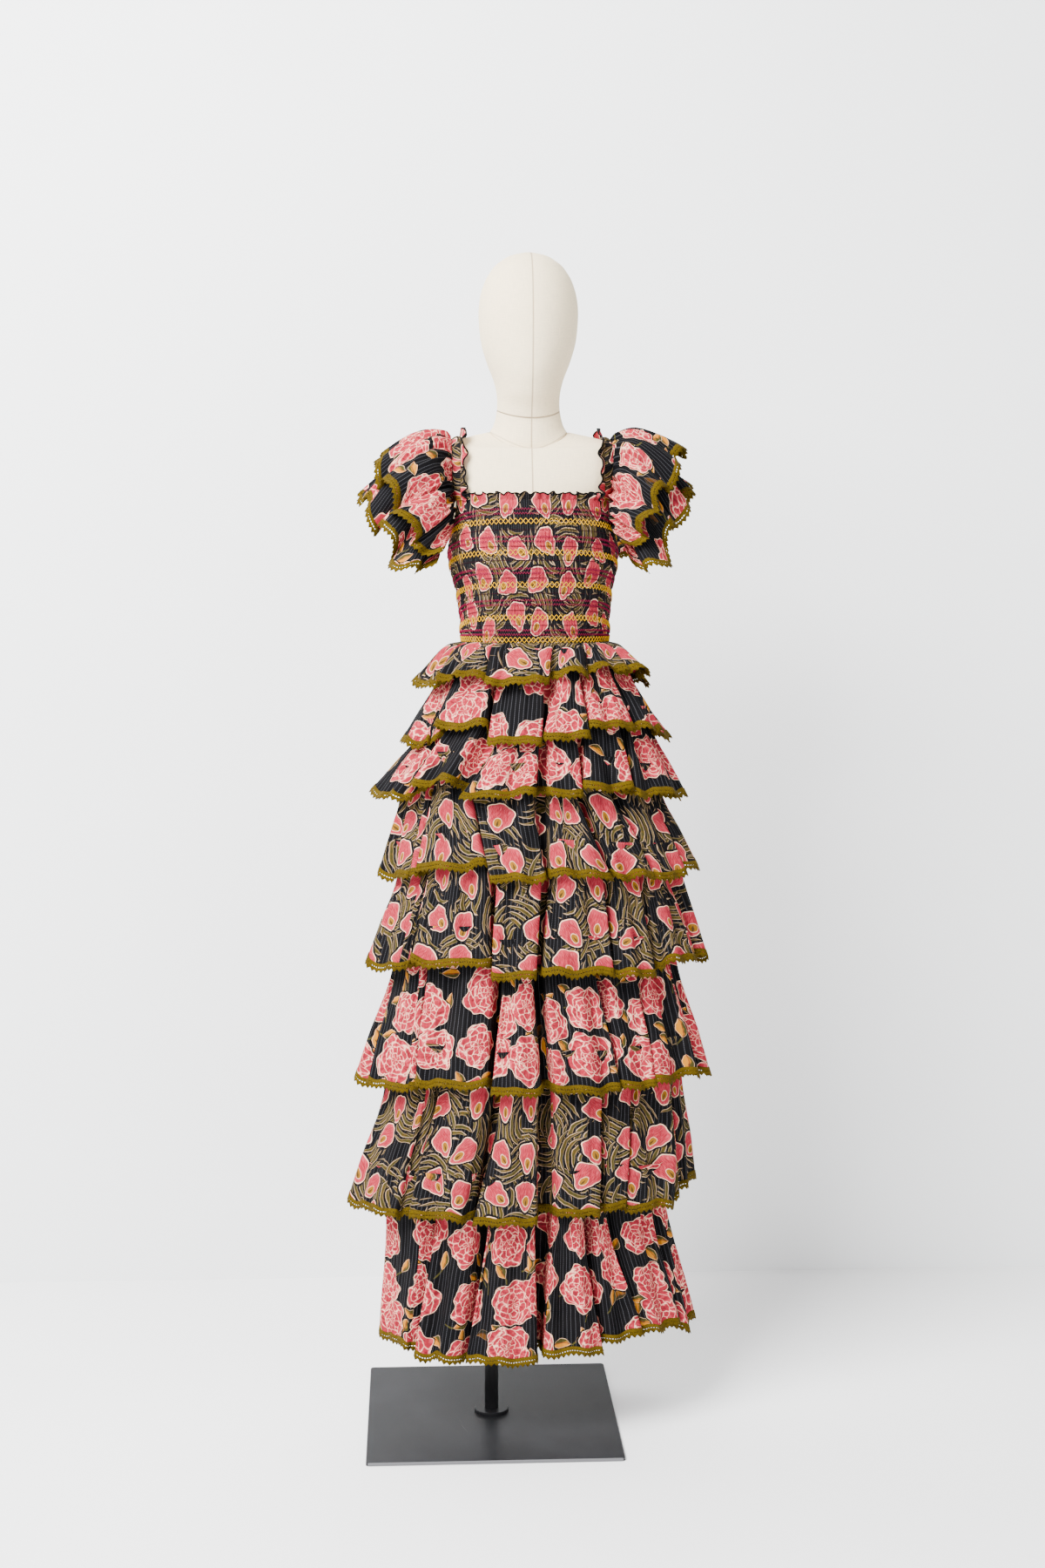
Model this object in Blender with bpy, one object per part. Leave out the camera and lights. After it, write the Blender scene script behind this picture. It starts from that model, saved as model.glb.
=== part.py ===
"""Tiered peasant dress on a limbless dress form. Metres, +Z up, the form faces -Y.

The origin is on the floor under the form's axis. An angle round the skirt is measured from
the front (-Y) towards the viewer's right (+X). Lengths in the fold tables are millimetres.
"""

import math

import bmesh
import bpy
import numpy as np
from mathutils import Vector

MM = 0.001

# Cloth, seams and crochet edging
CLOTH = 1.5 * MM
SEAM_GAP = 0.3 * MM
TRIM_HEIGHT = 13.5 * MM
TRIM_THICK = 1.3 * MM
NEST = 4.5 * MM

# Stand
PLATE_SIDE = 0.400
PLATE_THICK = 5.0 * MM
PLATE_CORNER = 6.0 * MM
PLATE_EDGE = 0.8 * MM
POLE_X = -0.064
POLE_RADIUS = 11.0 * MM
FLANGE_RADIUS = 27.5 * MM
FLANGE_THICK = 5.0 * MM
FORM_BOTTOM = 0.970
ROUND_SIDES = 24

# Dress form, a row a level: height, half width, front depth, back depth, centre x
TORSO = (
    (FORM_BOTTOM, 0.132, 0.078, 0.080, 0.004),
    (0.984, 0.143, 0.086, 0.088, 0.004),
    (1.040, 0.148, 0.088, 0.092, 0.004),
    (1.120, 0.139, 0.084, 0.088, 0.005),
    (1.190, 0.121, 0.080, 0.084, 0.006),
    (1.250, 0.1105, 0.082, 0.082, 0.006),
    (1.310, 0.1130, 0.088, 0.083, 0.005),
    (1.375, 0.1258, 0.103, 0.087, 0.003),
    (1.430, 0.1225, 0.098, 0.090, 0.002),
    (1.466, 0.1264, 0.088, 0.090, 0.000),
    (1.500, 0.1410, 0.076, 0.085, 0.000),
    (1.526, 0.1500, 0.066, 0.075, 0.000),
    (1.548, 0.1450, 0.056, 0.062, 0.000),
    (1.563, 0.1210, 0.048, 0.052, -0.001),
    (1.572, 0.0880, 0.0465, 0.048, -0.003),
    (1.5775, 0.0620, 0.0460, 0.046, -0.004),
)
NECK = (
    (1.5778, 0.0600, 0.0440, 0.0440, -0.0045),
    (1.586, 0.0550, 0.0440, 0.0440, -0.0045),
    (1.598, 0.0512, 0.0450, 0.0430, -0.0045),
    (1.6100, 0.0490, 0.0470, 0.0425, -0.0045),
)
HEAD = (
    (1.6103, 0.0489, 0.0475, 0.0430, -0.0045),
    (1.622, 0.0483, 0.0560, 0.0450, -0.0045),
    (1.636, 0.0492, 0.0700, 0.0510, -0.0045),
    (1.654, 0.0532, 0.0808, 0.0615, -0.0045),
    (1.682, 0.0638, 0.0883, 0.0803, -0.0045),
    (1.712, 0.0727, 0.0915, 0.0920, -0.0045),
    (1.740, 0.0762, 0.0925, 0.0965, -0.0045),
    (1.768, 0.0766, 0.0905, 0.0960, -0.0045),
    (1.795, 0.0715, 0.0835, 0.0880, -0.0045),
    (1.818, 0.0610, 0.0710, 0.0740, -0.0045),
    (1.836, 0.0445, 0.0520, 0.0540, -0.0045),
    (1.847, 0.0230, 0.0270, 0.0280, -0.0045),
    (1.851, 0.0060, 0.0070, 0.0070, -0.0045),
)
FORM_SIDES = 24

# Bodice, outside of the cloth, a row a level as above
BODICE = (
    (1.2540, 0.1150, 0.0880, 0.0875, 0.006),
    (1.2930, 0.1163, 0.0915, 0.0880, 0.0055),
    (1.3430, 0.1230, 0.1020, 0.0900, 0.004),
    (1.3780, 0.1312, 0.1085, 0.0925, 0.003),
    (1.4000, 0.1303, 0.1080, 0.0945, 0.0025),
    (1.4390, 0.1272, 0.1035, 0.0965, 0.002),
    (1.4740, 0.1300, 0.0935, 0.0985, 0.001),
)
WAIST_Z = 1.2540
NECKLINE_Z = 1.4720
UNDERARM_Z = 1.4260
NECKLINE_HALF = 0.1175
SIDE_SEAM_GAP_DEG = 0.25
BODICE_COLUMNS = 13
# Smocking, a row a level: height in the middle, height at the side seam, how far the gathers
# between two drawn-in rows of stitches puff out; the last row follows the bodice's upper edge
SMOCKING = (
    (1.2540, 1.2540, 0.0),
    (1.2735, 1.2610, 1.5),
    (1.2930, 1.2710, 0.0),
    (1.3180, 1.2950, 1.5),
    (1.3430, 1.3190, 0.0),
    (1.3680, 1.3430, 1.5),
    (1.3920, 1.3660, 0.0),
    (1.4160, 1.3850, 1.5),
    (1.4390, 1.4020, 0.0),
    (1.4560, 1.4150, 0.8),
    (1.4720, 1.4260, 0.0),
)
FRILL_HEIGHT = 9.0 * MM
FRILL_WAVE = 1.6 * MM
STRAP_X = 0.1165
STRAP_HALF_WIDTH = 5.5 * MM
STRAP_CLEAR = 2.8 * MM
STRAP_SEAT = 0.030
STRAP_FRILL_HEIGHT = 12.0 * MM

# Skirt tiers: hem height in front and at the sides with the edging, half width, half depth,
# centre x, how far the tier hides its own top (overlap), narrowing where it comes out
TIERS = {
    1: dict(front=1.193, side=1.178, half=0.170, deep=0.120, centre=0.004, over=0.000, narrow=1.000),
    2: dict(front=1.100, side=1.088, half=0.199, deep=0.131, centre=0.009, over=0.028, narrow=0.872),
    3: dict(front=1.018, side=1.000, half=0.234, deep=0.141, centre=0.000, over=0.030, narrow=0.915),
    4: dict(front=0.893, side=0.874, half=0.240, deep=0.146, centre=0.016, over=0.040, narrow=0.870),
    5: dict(front=0.743, side=0.735, half=0.258, deep=0.149, centre=0.008, over=0.045, narrow=0.925),
    6: dict(front=0.564, side=0.553, half=0.271, deep=0.151, centre=0.006, over=0.050, narrow=0.860),
    7: dict(front=0.361, side=0.355, half=0.265, deep=0.147, centre=-0.012, over=0.055, narrow=0.870),
    8: dict(front=0.132, side=0.135, half=0.247, deep=0.138, centre=0.012, over=0.060, narrow=0.850),
}
# Folds seen from the front, a row a fold from the viewer's left: angle of the valley, width
# of its mouth, its depth, then of the lobe to its right how far it stands out and hangs short
FRONT_FOLDS = {
    1: ((-68, 12, 12, 4, 12), (-34, 9, 16, 5, -2), (14, 14, 17, 4, 11), (39, 9, 14, 4, 22),
        (63, 9, 14, 3, 21), (88, 12, 12, 4, 3)),
    2: ((-63, 14, 20, 5, 28), (-32, 14, 22, 7, 1), (6, 9, 20, 5, 8), (33, 9, 18, 4, 27),
        (60, 10, 16, 4, 22), (80, 13, 16, 4, 8)),
    3: ((-65, 14, 26, 5, 30), (-43, 12, 20, 7, 4), (4, 28, 24, 6, 4), (29, 10, 20, 6, 18),
        (54, 10, 18, 6, 11), (77, 14, 22, 4, 7)),
    4: ((-66, 13, 26, 6, 24), (-29, 12, 30, 8, 0), (7, 11, 27, 7, 8), (42, 11, 25, 6, 10),
        (60, 9, 12, 5, 9), (76, 14, 25, 4, 18)),
    5: ((-67, 12, 30, 6, 20), (-26, 13, 34, 9, 0), (2, 15, 32, 7, 5), (42, 12, 27, 5, 2),
        (62, 10, 25, 4, 16), (82, 14, 24, 4, 12)),
    6: ((-60, 13, 30, 5, 12), (-27, 12, 36, 9, 0), (7, 24, 36, 7, 2), (44, 11, 30, 5, 7),
        (59, 10, 26, 4, 15), (81, 14, 28, 4, 8)),
    7: ((-63, 16, 34, 5, 4), (-36, 13, 36, 10, -2), (7, 36, 42, 7, 9), (38, 12, 32, 3, 14),
        (51, 10, 26, 4, 8), (78, 14, 34, 3, 26)),
    8: ((-66, 14, 40, 9, -6), (-43, 18, 46, 10, 0), (3, 21, 52, 5, 12), (42, 12, 38, -6, 24),
        (61, 12, 34, -5, 26), (80, 14, 34, 0, 10)),
}
# Folds behind, shared by the tiers: the same columns, and a part of the front's depth
BACK_FOLDS = ((110, 13, 1.00, 4, 4), (138, 12, 0.85, 6, 12), (171, 14, 1.10, 5, 3),
              (206, 12, 0.90, 7, 9), (243, 13, 1.05, 5, 6))
BACK_DEPTH = {1: 14, 2: 19, 3: 23, 4: 26, 5: 30, 6: 32, 7: 35, 8: 40}
WANDER_DEG = 3.5

# Sleeve flounces, a row a section from the front end over the shoulder to the back end:
# hem point out from the centre, forward and up; the last number bows the cloth outwards
SLEEVES = {
    "upper_left": ((0.140, -0.080, 1.396, 13), (0.166, -0.104, 1.406, 18), (0.187, -0.110, 1.452, 20),
                   (0.211, -0.098, 1.489, 21), (0.227, -0.062, 1.524, 22), (0.230, -0.018, 1.548, 17),
                   (0.231, 0.028, 1.544, 17), (0.224, 0.068, 1.520, 20), (0.203, 0.097, 1.480, 20),
                   (0.174, 0.102, 1.436, 18), (0.142, 0.082, 1.404, 12)),
    "lower_left": ((0.147, -0.070, 1.384, 3), (0.168, -0.092, 1.374, 9), (0.196, -0.096, 1.378, 14),
                   (0.214, -0.092, 1.416, 16), (0.238, -0.077, 1.452, 18), (0.258, -0.037, 1.476, 21),
                   (0.260, 0.006, 1.496, 20), (0.251, 0.048, 1.488, 20), (0.228, 0.084, 1.456, 18),
                   (0.190, 0.098, 1.410, 13), (0.148, 0.076, 1.386, 6)),
    "upper_right": ((0.139, -0.079, 1.406, 11), (0.152, -0.104, 1.418, 14), (0.163, -0.112, 1.456, 17),
                    (0.183, -0.102, 1.490, 20), (0.207, -0.074, 1.520, 23), (0.224, -0.028, 1.553, 21),
                    (0.229, 0.014, 1.563, 19), (0.222, 0.055, 1.545, 21), (0.203, 0.088, 1.506, 20),
                    (0.174, 0.102, 1.456, 17), (0.141, 0.080, 1.408, 11)),
    "lower_right": ((0.145, -0.070, 1.386, 3), (0.163, -0.092, 1.374, 8), (0.189, -0.096, 1.384, 13),
                    (0.204, -0.086, 1.428, 15), (0.226, -0.058, 1.462, 18), (0.244, -0.022, 1.488, 20),
                    (0.246, 0.016, 1.499, 19), (0.240, 0.050, 1.490, 19), (0.222, 0.082, 1.458, 17),
                    (0.188, 0.098, 1.414, 12), (0.147, 0.076, 1.388, 6)),
}
SLEEVE_WAVES = 6
SLEEVE_COLUMNS = 24
ARMHOLE_DEG = (82, 74, 66)
SEAM_OUT = 5.6 * MM
SLEEVE_WAVE = {"upper": 6.5 * MM, "lower": 8.0 * MM}
SLEEVE_HEAD_LIFT = {"upper": 2.0 * MM, "lower": -3.3 * MM}

COLOURS = {
    "black_steel": (0.020, 0.020, 0.022, 0.35, 0.6),
    "linen_cover": (0.80, 0.74, 0.63, 0.85, 0.0),
    "flower_cotton": (0.035, 0.030, 0.034, 0.80, 0.0),
    "rosette_cotton": (0.30, 0.10, 0.13, 0.80, 0.0),
    "crochet_edging": (0.20, 0.14, 0.02, 0.75, 0.0),
    "smocked_cotton": (0.20, 0.03, 0.09, 0.80, 0.0),
    "frill_cotton": (0.025, 0.022, 0.026, 0.80, 0.0),
}


def clear_scene():
    for obj in list(bpy.data.objects):
        bpy.data.objects.remove(obj, do_unlink=True)


def material(slot, name):
    red, green, blue, rough, metal = COLOURS[slot]
    made = bpy.data.materials.new(name)
    made.use_nodes = True
    shader = made.node_tree.nodes["Principled BSDF"]
    shader.inputs["Base Color"].default_value = (red, green, blue, 1.0)
    shader.inputs["Roughness"].default_value = rough
    shader.inputs["Metallic"].default_value = metal
    made.diffuse_color = (red, green, blue, 1.0)
    return made


def add_object(name, slot, points, faces, smooth=True):
    """One closed body from points and faces, all its normals turned outwards."""
    mesh = bpy.data.meshes.new(name)
    work = bmesh.new()
    corners = [work.verts.new(Vector(point)) for point in points]
    for face in faces:
        work.faces.new([corners[index] for index in face])
    bmesh.ops.triangulate(work, faces=work.faces, quad_method="FIXED")
    work.normal_update()
    if work.calc_volume(signed=True) < 0:
        bmesh.ops.reverse_faces(work, faces=work.faces)
    work.to_mesh(mesh)
    work.free()
    for polygon in mesh.polygons:
        polygon.use_smooth = smooth
    obj = bpy.data.objects.new(name, mesh)
    obj.data.materials.append(material(slot, name + "_" + slot))
    bpy.context.scene.collection.objects.link(obj)
    return obj


def level_at(rows, z):
    """Half width, front depth, back depth and centre x of a section table at a height."""
    heights = [row[0] for row in rows]
    return [float(np.interp(z, heights, [row[column] for row in rows])) for column in (1, 2, 3, 4)]


def oval_point(rows, z, angle):
    """Point of the oval section at this height; the angle is zero in front."""
    half, front, back, centre = level_at(rows, z)
    depth = front if math.cos(angle) > 0 else back
    return (centre + half * math.sin(angle), -depth * math.cos(angle), z)


def add_loft(name, slot, rows, sides):
    """Closed solid through oval sections, with a flat cap at each end."""
    points = []
    for row in rows:
        for side in range(sides):
            points.append(oval_point(rows, row[0], 2 * math.pi * side / sides))
    faces = []
    for level in range(len(rows) - 1):
        for side in range(sides):
            here = level * sides + side
            beside = level * sides + (side + 1) % sides
            faces.append((here, beside, beside + sides, here + sides))
    faces.append(tuple(reversed(range(sides))))
    faces.append(tuple(range((len(rows) - 1) * sides, len(rows) * sides)))
    return add_object(name, slot, points, faces)


def add_stand():
    """Square steel plate, round flange and the one straight pole."""
    work = bmesh.new()
    bmesh.ops.create_cube(work, size=1.0)
    size = Vector((PLATE_SIDE, PLATE_SIDE, PLATE_THICK))
    bmesh.ops.scale(work, vec=size, verts=work.verts)
    bmesh.ops.translate(work, vec=Vector((POLE_X, 0.0, PLATE_THICK / 2)), verts=work.verts)
    upright = [edge for edge in work.edges if abs(edge.verts[0].co.z - edge.verts[1].co.z) > MM]
    bmesh.ops.bevel(work, geom=upright, offset=PLATE_CORNER, segments=4, profile=0.5, affect="EDGES")
    top = [edge for edge in work.edges if all(v.co.z > PLATE_THICK - 0.01 * MM for v in edge.verts)]
    bmesh.ops.bevel(work, geom=top, offset=PLATE_EDGE, segments=1, affect="EDGES")
    mesh = bpy.data.meshes.new("base_plate")
    work.to_mesh(mesh)
    work.free()
    plate = bpy.data.objects.new("base_plate", mesh)
    plate.data.materials.append(material("black_steel", "base_plate_black_steel"))
    bpy.context.scene.collection.objects.link(plate)
    flange_z = PLATE_THICK + SEAM_GAP
    pole_z = flange_z + FLANGE_THICK + SEAM_GAP
    add_turned("pole_flange", ((flange_z, FLANGE_RADIUS), (flange_z + FLANGE_THICK - MM, FLANGE_RADIUS),
                               (flange_z + FLANGE_THICK, FLANGE_RADIUS - MM)))
    add_turned("pole", ((pole_z, POLE_RADIUS), (FORM_BOTTOM - SEAM_GAP, POLE_RADIUS)))


def add_turned(name, profile):
    rows = [(z, radius, radius, radius, POLE_X) for z, radius in profile]
    return add_loft(name, "black_steel", rows, ROUND_SIDES)


def add_walls(name, slot, outer, inner, ring):
    """Cloth wall between two grids of points, rows by columns; a ring closes on itself."""
    rows, columns = outer.shape[:2]
    count = rows * columns
    points = np.concatenate([outer.reshape(-1, 3), inner.reshape(-1, 3)])
    spans = columns if ring else columns - 1
    faces = []
    for row in range(rows - 1):
        for column in range(spans):
            a = row * columns + column
            b = row * columns + (column + 1) % columns
            faces.append((a, b, b + columns, a + columns))
            faces.append((count + a, count + a + columns, count + b + columns, count + b))
    last = (rows - 1) * columns
    for column in range(spans):
        beside = (column + 1) % columns
        faces.append((column, count + column, count + beside, beside))
        faces.append((last + column, last + beside, count + last + beside, count + last + column))
    if not ring:
        for row in range(rows - 1):
            a = row * columns
            b = a + columns
            faces.append((a, b, count + b, count + a))
            a, b = a + columns - 1, b + columns - 1
            faces.append((a, count + a, count + b, b))
    return add_object(name, slot, points, faces)


def inset(ring, distance):
    """A ring of points moved inwards in its plane, each point along the mean of its two edges."""
    flat = ring[:, :2]
    along = np.roll(flat, -1, axis=0) - flat
    along /= np.linalg.norm(along, axis=1)[:, None]
    normal = np.stack([-along[:, 1], along[:, 0]], axis=1)
    before = np.roll(normal, 1, axis=0)
    mitre = (normal + before) / np.maximum(1 + (normal * before).sum(axis=1), 0.35)[:, None]
    moved = ring.copy()
    moved[:, :2] += mitre * distance
    return moved


def skirt_radius(tier, angle):
    """Distance from the form's axis to the tier's plain outline, an ellipse off the centre."""
    size = TIERS[tier]
    x, y = math.sin(angle), -math.cos(angle)
    a = (x / size["half"]) ** 2 + (y / size["deep"]) ** 2
    b = -2 * x * size["centre"] / size["half"] ** 2
    c = (size["centre"] / size["half"]) ** 2 - 1
    return (-b + math.sqrt(b * b - 4 * a * c)) / (2 * a)


def folds_of(tier):
    """The fold table all round: the front as seen, the back wandering a little from tier to tier."""
    rows = [tuple(row) for row in FRONT_FOLDS[tier]]
    for place, (angle, mouth, part, bulge, rise) in enumerate(BACK_FOLDS):
        swing = WANDER_DEG * math.sin(1.9 * tier + 2.3 * place)
        rise += 4 * math.sin(tier + place)
        rows.append((angle + swing, mouth, part * BACK_DEPTH[tier], bulge, rise))
    return rows


def hem_ring(tier):
    """Lower edge of the tier's cloth: six points a fold, two in the valley and four on the lobe."""
    size = TIERS[tier]
    folds = folds_of(tier)
    polar = []
    for index, (angle, mouth, depth, bulge, rise) in enumerate(folds):
        before = folds[index - 1]
        after = folds[(index + 1) % len(folds)]
        middle = math.radians(angle)
        radius = skirt_radius(tier, middle)
        open_half = mouth * MM / 2 / radius
        floor_half = 0.42 * open_half * radius / (radius - depth * MM)
        far = math.radians(after[0]) + (2 * math.pi if index == len(folds) - 1 else 0)
        far -= after[1] * MM / 2 / skirt_radius(tier, far)
        near = middle + open_half
        floor_rise = (rise + before[4]) / 2
        polar.append((middle - open_half, before[3] - 2.5, before[4]))
        polar.append((middle - floor_half, -depth, floor_rise))
        polar.append((middle + floor_half, -depth, floor_rise))
        polar.append((near, bulge - 2.5, rise))
        polar.append((near + 0.33 * (far - near), bulge + 2.0, rise))
        polar.append((near + 0.67 * (far - near), bulge + 2.0, rise))
    ring = []
    for angle, out, rise in polar:
        radius = skirt_radius(tier, angle) + out * MM
        level = size["front"] * math.cos(angle) ** 2 + size["side"] * math.sin(angle) ** 2
        z = level + TRIM_HEIGHT + rise * MM
        ring.append((radius * math.sin(angle), -radius * math.cos(angle), z))
    return np.array(ring)


def polar_mix(first, second, part):
    """Ring between two rings, mixed in angle, radius and height; part is a number a point."""
    angle_a, angle_b = (np.unwrap(np.arctan2(ring[:, 0], -ring[:, 1])) for ring in (first, second))
    angle_b += 2 * np.pi * np.round((angle_a[0] - angle_b[0]) / (2 * np.pi))
    radius_a, radius_b = (np.hypot(ring[:, 0], ring[:, 1]) for ring in (first, second))
    angle = angle_a + (angle_b - angle_a) * part
    radius = radius_a + (radius_b - radius_a) * part
    z = first[:, 2] + (second[:, 2] - first[:, 2]) * part
    return np.stack([radius * np.sin(angle), -radius * np.cos(angle), z], axis=1)


def scaled(ring, factor):
    return ring * np.array([factor, factor, 1.0])


def waist_rings():
    """Seam of the first tier at the waist, and the turn of its gathers just below."""
    hem = hem_ring(1)
    angles = np.arctan2(hem[:, 0], -hem[:, 1])
    seam = np.array([oval_point(BODICE, WAIST_Z, angle) for angle in angles])
    seam[:, 2] = WAIST_Z - SEAM_GAP
    turn = polar_mix(seam, hem, np.full(len(hem), 0.36))
    turn[:, 2] = WAIST_Z - 8 * MM
    return seam, turn


def tier_rings():
    """Rings of each tier from its top seam to its hem; each next tier starts inside the last."""
    rings = {}
    for tier in TIERS:
        hem = hem_ring(tier)
        if tier == 1:
            top, out = waist_rings()
        else:
            above = rings[tier - 1]
            top = inset(above[-2], CLOTH + SEAM_GAP)
            out = scaled(inset(above[-1], NEST), TIERS[tier]["narrow"])
        if tier in (1, max(TIERS)):
            rings[tier] = [top, out, hem]
            continue
        height = out[:, 2] - hem[:, 2]
        over = np.minimum(TIERS[tier + 1]["over"], 0.6 * height)
        rings[tier] = [top, out, polar_mix(out, hem, 1 - over / height), hem]
    return rings


def flared(rows, below):
    """The hem moved down, its lobes running on outwards as they do above it."""
    hem, above = rows[-1], rows[-2]
    radius, before = (np.hypot(ring[:, 0], ring[:, 1]) for ring in (hem, above))
    slope = np.clip((radius - before) / (above[:, 2] - hem[:, 2]), 0.0, 0.6)
    lower = scaled(hem, 1.0)
    lower[:, :2] *= (1 + slope * below / radius)[:, None]
    lower[:, 2] -= below
    return lower


def add_skirt():
    for tier, rows in tier_rings().items():
        slot = "rosette_cotton" if tier in (2, 3, 6, 8) else "flower_cotton"
        outer = np.array(rows)
        inner = np.array([inset(row, CLOTH) for row in rows])
        add_walls(f"tier_{tier}", slot, outer, inner, ring=True)
        edge = np.array([flared(rows, SEAM_GAP), flared(rows, TRIM_HEIGHT)])
        edge_in = np.array([inset(row, TRIM_THICK) for row in edge])
        add_walls(f"trim_{tier}", "crochet_edging", edge, edge_in, ring=True)


def bodice_top(x):
    """Height of the bodice's upper edge: square across the neck, scooped for each armhole."""
    past = min(max((abs(x) - NECKLINE_HALF) / (0.1285 - NECKLINE_HALF), 0.0), 1.0)
    return NECKLINE_Z - (NECKLINE_Z - UNDERARM_Z) * past ** 0.7


def bodice_grid(turn):
    """Plain outside of one bodice panel, a line of points a smocking row; turn is 0 or pi."""
    grid = []
    reach = math.radians(90 - SIDE_SEAM_GAP_DEG)
    for middle, side, _ in SMOCKING:
        line = []
        for column in range(BODICE_COLUMNS):
            part = 2 * column / (BODICE_COLUMNS - 1) - 1
            angle = turn + reach * part
            z = middle + (side - middle) * part ** 2
            if middle == NECKLINE_Z:
                z = bodice_top(oval_point(BODICE, NECKLINE_Z, angle)[0])
            line.append(oval_point(BODICE, z, angle))
        grid.append(line)
    return np.array(grid)


def grid_normals(grid):
    down = np.gradient(grid, axis=0)
    across = np.gradient(grid, axis=1)
    normal = np.cross(across, down)
    return normal / np.linalg.norm(normal, axis=2)[:, :, None]


def add_bodice():
    for name, turn in (("front", 0.0), ("back", math.pi)):
        plain = bodice_grid(turn)
        normal = grid_normals(plain)
        puff = np.array([row[2] * MM for row in SMOCKING])[:, None, None]
        outer = plain + puff * normal
        add_walls("bodice_" + name, "smocked_cotton", outer, plain - CLOTH * normal, ring=False)
        add_frill("neck_frill_" + name, turn, FRILL_HEIGHT)


def add_frill(name, turn, height):
    """Small standing frill along one neckline between the straps, waving in and out of it."""
    reach = math.asin((STRAP_X - STRAP_HALF_WIDTH - 7.5 * MM) / BODICE[-1][1])
    turns = turn + reach * np.linspace(-1, 1, 15)
    base = np.array([oval_point(BODICE, NECKLINE_Z, angle) for angle in turns])
    away = base * np.array([1.0, 1.0, 0.0])
    away /= np.linalg.norm(away, axis=1)[:, None]
    lift = np.array([0.0, 0.0, 1.0])
    wave = FRILL_WAVE * np.where(np.arange(len(base)) % 2 == 0, 1.0, -1.0)[:, None]
    rows = [base + lift * SEAM_GAP, base + lift * (SEAM_GAP + height) + away * (wave + 4 * MM)]
    outer = np.array(rows[::-1])
    add_walls(name, "frill_cotton", outer, outer - CLOTH * away[None], ring=False)


def torso_edge(x, z, forward):
    """How far the form reaches forward or back at this height, in a plane across x."""
    half, front, back, centre = level_at(TORSO, z)
    inside = ((x - centre) / half) ** 2
    return (front if forward else back) * math.sqrt(max(1 - inside, 0.0))


def shoulder_line(side, x, clear, count):
    """Points over the shoulder in a plane across x, from the neckline in front to that behind."""
    base = NECKLINE_Z - 0.02
    line = []
    for place in range(count):
        part = 2 * place / (count - 1) - 1
        forward = part < 0
        least = math.atan2(NECKLINE_Z - base, torso_edge(side * x, NECKLINE_Z, forward))
        turn = least + (math.pi / 2 - least) * (1 - abs(part))
        low, high = NECKLINE_Z, TORSO[-1][0]
        for _ in range(40):
            z = (low + high) / 2
            edge = torso_edge(side * x, z, forward)
            if edge > 0 and math.atan2(z - base, edge) < turn:
                low = z
            else:
                high = z
        line.append((side * x, -edge if forward else edge, z))
    line = np.array(line)
    along = np.gradient(line, axis=0)
    normal = np.stack([np.zeros(count), -along[:, 2], along[:, 1]], axis=1)
    normal *= np.sign(normal[count // 2, 2])
    normal /= np.linalg.norm(normal, axis=1)[:, None]
    line += normal * clear
    for point in line:
        angle = math.asin(min(max((x - 0.001) / 0.1300, -1.0), 1.0))
        edge = oval_point(BODICE, NECKLINE_Z, angle if point[1] < 0 else math.pi - angle)[1]
        seat = max(0.0, 1.0 - (point[2] - NECKLINE_Z) / STRAP_SEAT) ** 2
        point[1] += (edge - point[1]) * seat
        point[2] += 4 * SEAM_GAP * seat
    return line, normal


def add_straps():
    for word, side in (("left", -1), ("right", 1)):
        grid = []
        for x in (STRAP_X - STRAP_HALF_WIDTH, STRAP_X, STRAP_X + STRAP_HALF_WIDTH):
            line, normal = shoulder_line(side, x, STRAP_CLEAR + CLOTH, 13)
            grid.append(line)
        outer = np.array(grid if side < 0 else grid[::-1])
        inner = outer - CLOTH * normal[None]
        add_walls("strap_" + word, "frill_cotton", outer, inner, ring=False)
        base = grid[0] + normal * SEAM_GAP
        wave = FRILL_WAVE * np.where(np.arange(13) % 2 == 0, 1.0, -1.0)[:, None]
        lean = np.array([side * 1.0, 0.0, 0.0])
        tip = base + normal * STRAP_FRILL_HEIGHT + lean * wave
        frill = np.array([tip, base])
        add_walls("strap_frill_" + word, "frill_cotton", frill, frill + lean * CLOTH, ring=False)


def smooth_rows(table, count):
    """Rows between the rows of a table, on a curve through them."""
    table = np.array(table, dtype=float)
    last = len(table) - 1
    made = []
    for place in np.linspace(0, last, count):
        k = min(int(place), last - 1)
        t = place - k
        a, b, c, d = (table[min(max(k + step, 0), last)] for step in (-1, 0, 1, 2))
        made.append(0.5 * (2 * b + (c - a) * t + (2 * a - 5 * b + 4 * c - d) * t ** 2
                           + (3 * b - a - 3 * c + d) * t ** 3))
    return np.array(made)


def armhole_line(side, count):
    """Head of a flounce: up the bodice's scooped edge, over the strap and down again behind."""
    beside = STRAP_X + STRAP_HALF_WIDTH + 8 * SEAM_GAP
    line = shoulder_line(side, beside, STRAP_CLEAR + CLOTH - SLEEVE_HEAD_LIFT["lower"], 15)[0]
    ends = []
    for turn in (0.0, math.pi):
        for degrees in ARMHOLE_DEG:
            angle = side * math.radians(degrees) if turn == 0.0 else turn - side * math.radians(degrees)
            x = oval_point(BODICE, NECKLINE_Z, angle)[0]
            x, y, z = oval_point(BODICE, bodice_top(x), angle)
            away = Vector((x, y, 0.0)).normalized()
            ends.append((x + away.x * SEAM_OUT, y + away.y * SEAM_OUT, z))
    half = len(ARMHOLE_DEG)
    path = np.array(ends[:half] + list(line) + ends[:half - 1:-1])
    length = np.concatenate([[0], np.cumsum(np.linalg.norm(np.diff(path, axis=0), axis=1))])
    places = np.linspace(0, length[-1], count)
    return np.stack([np.interp(places, length, path[:, axis]) for axis in range(3)], axis=1)


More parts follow.
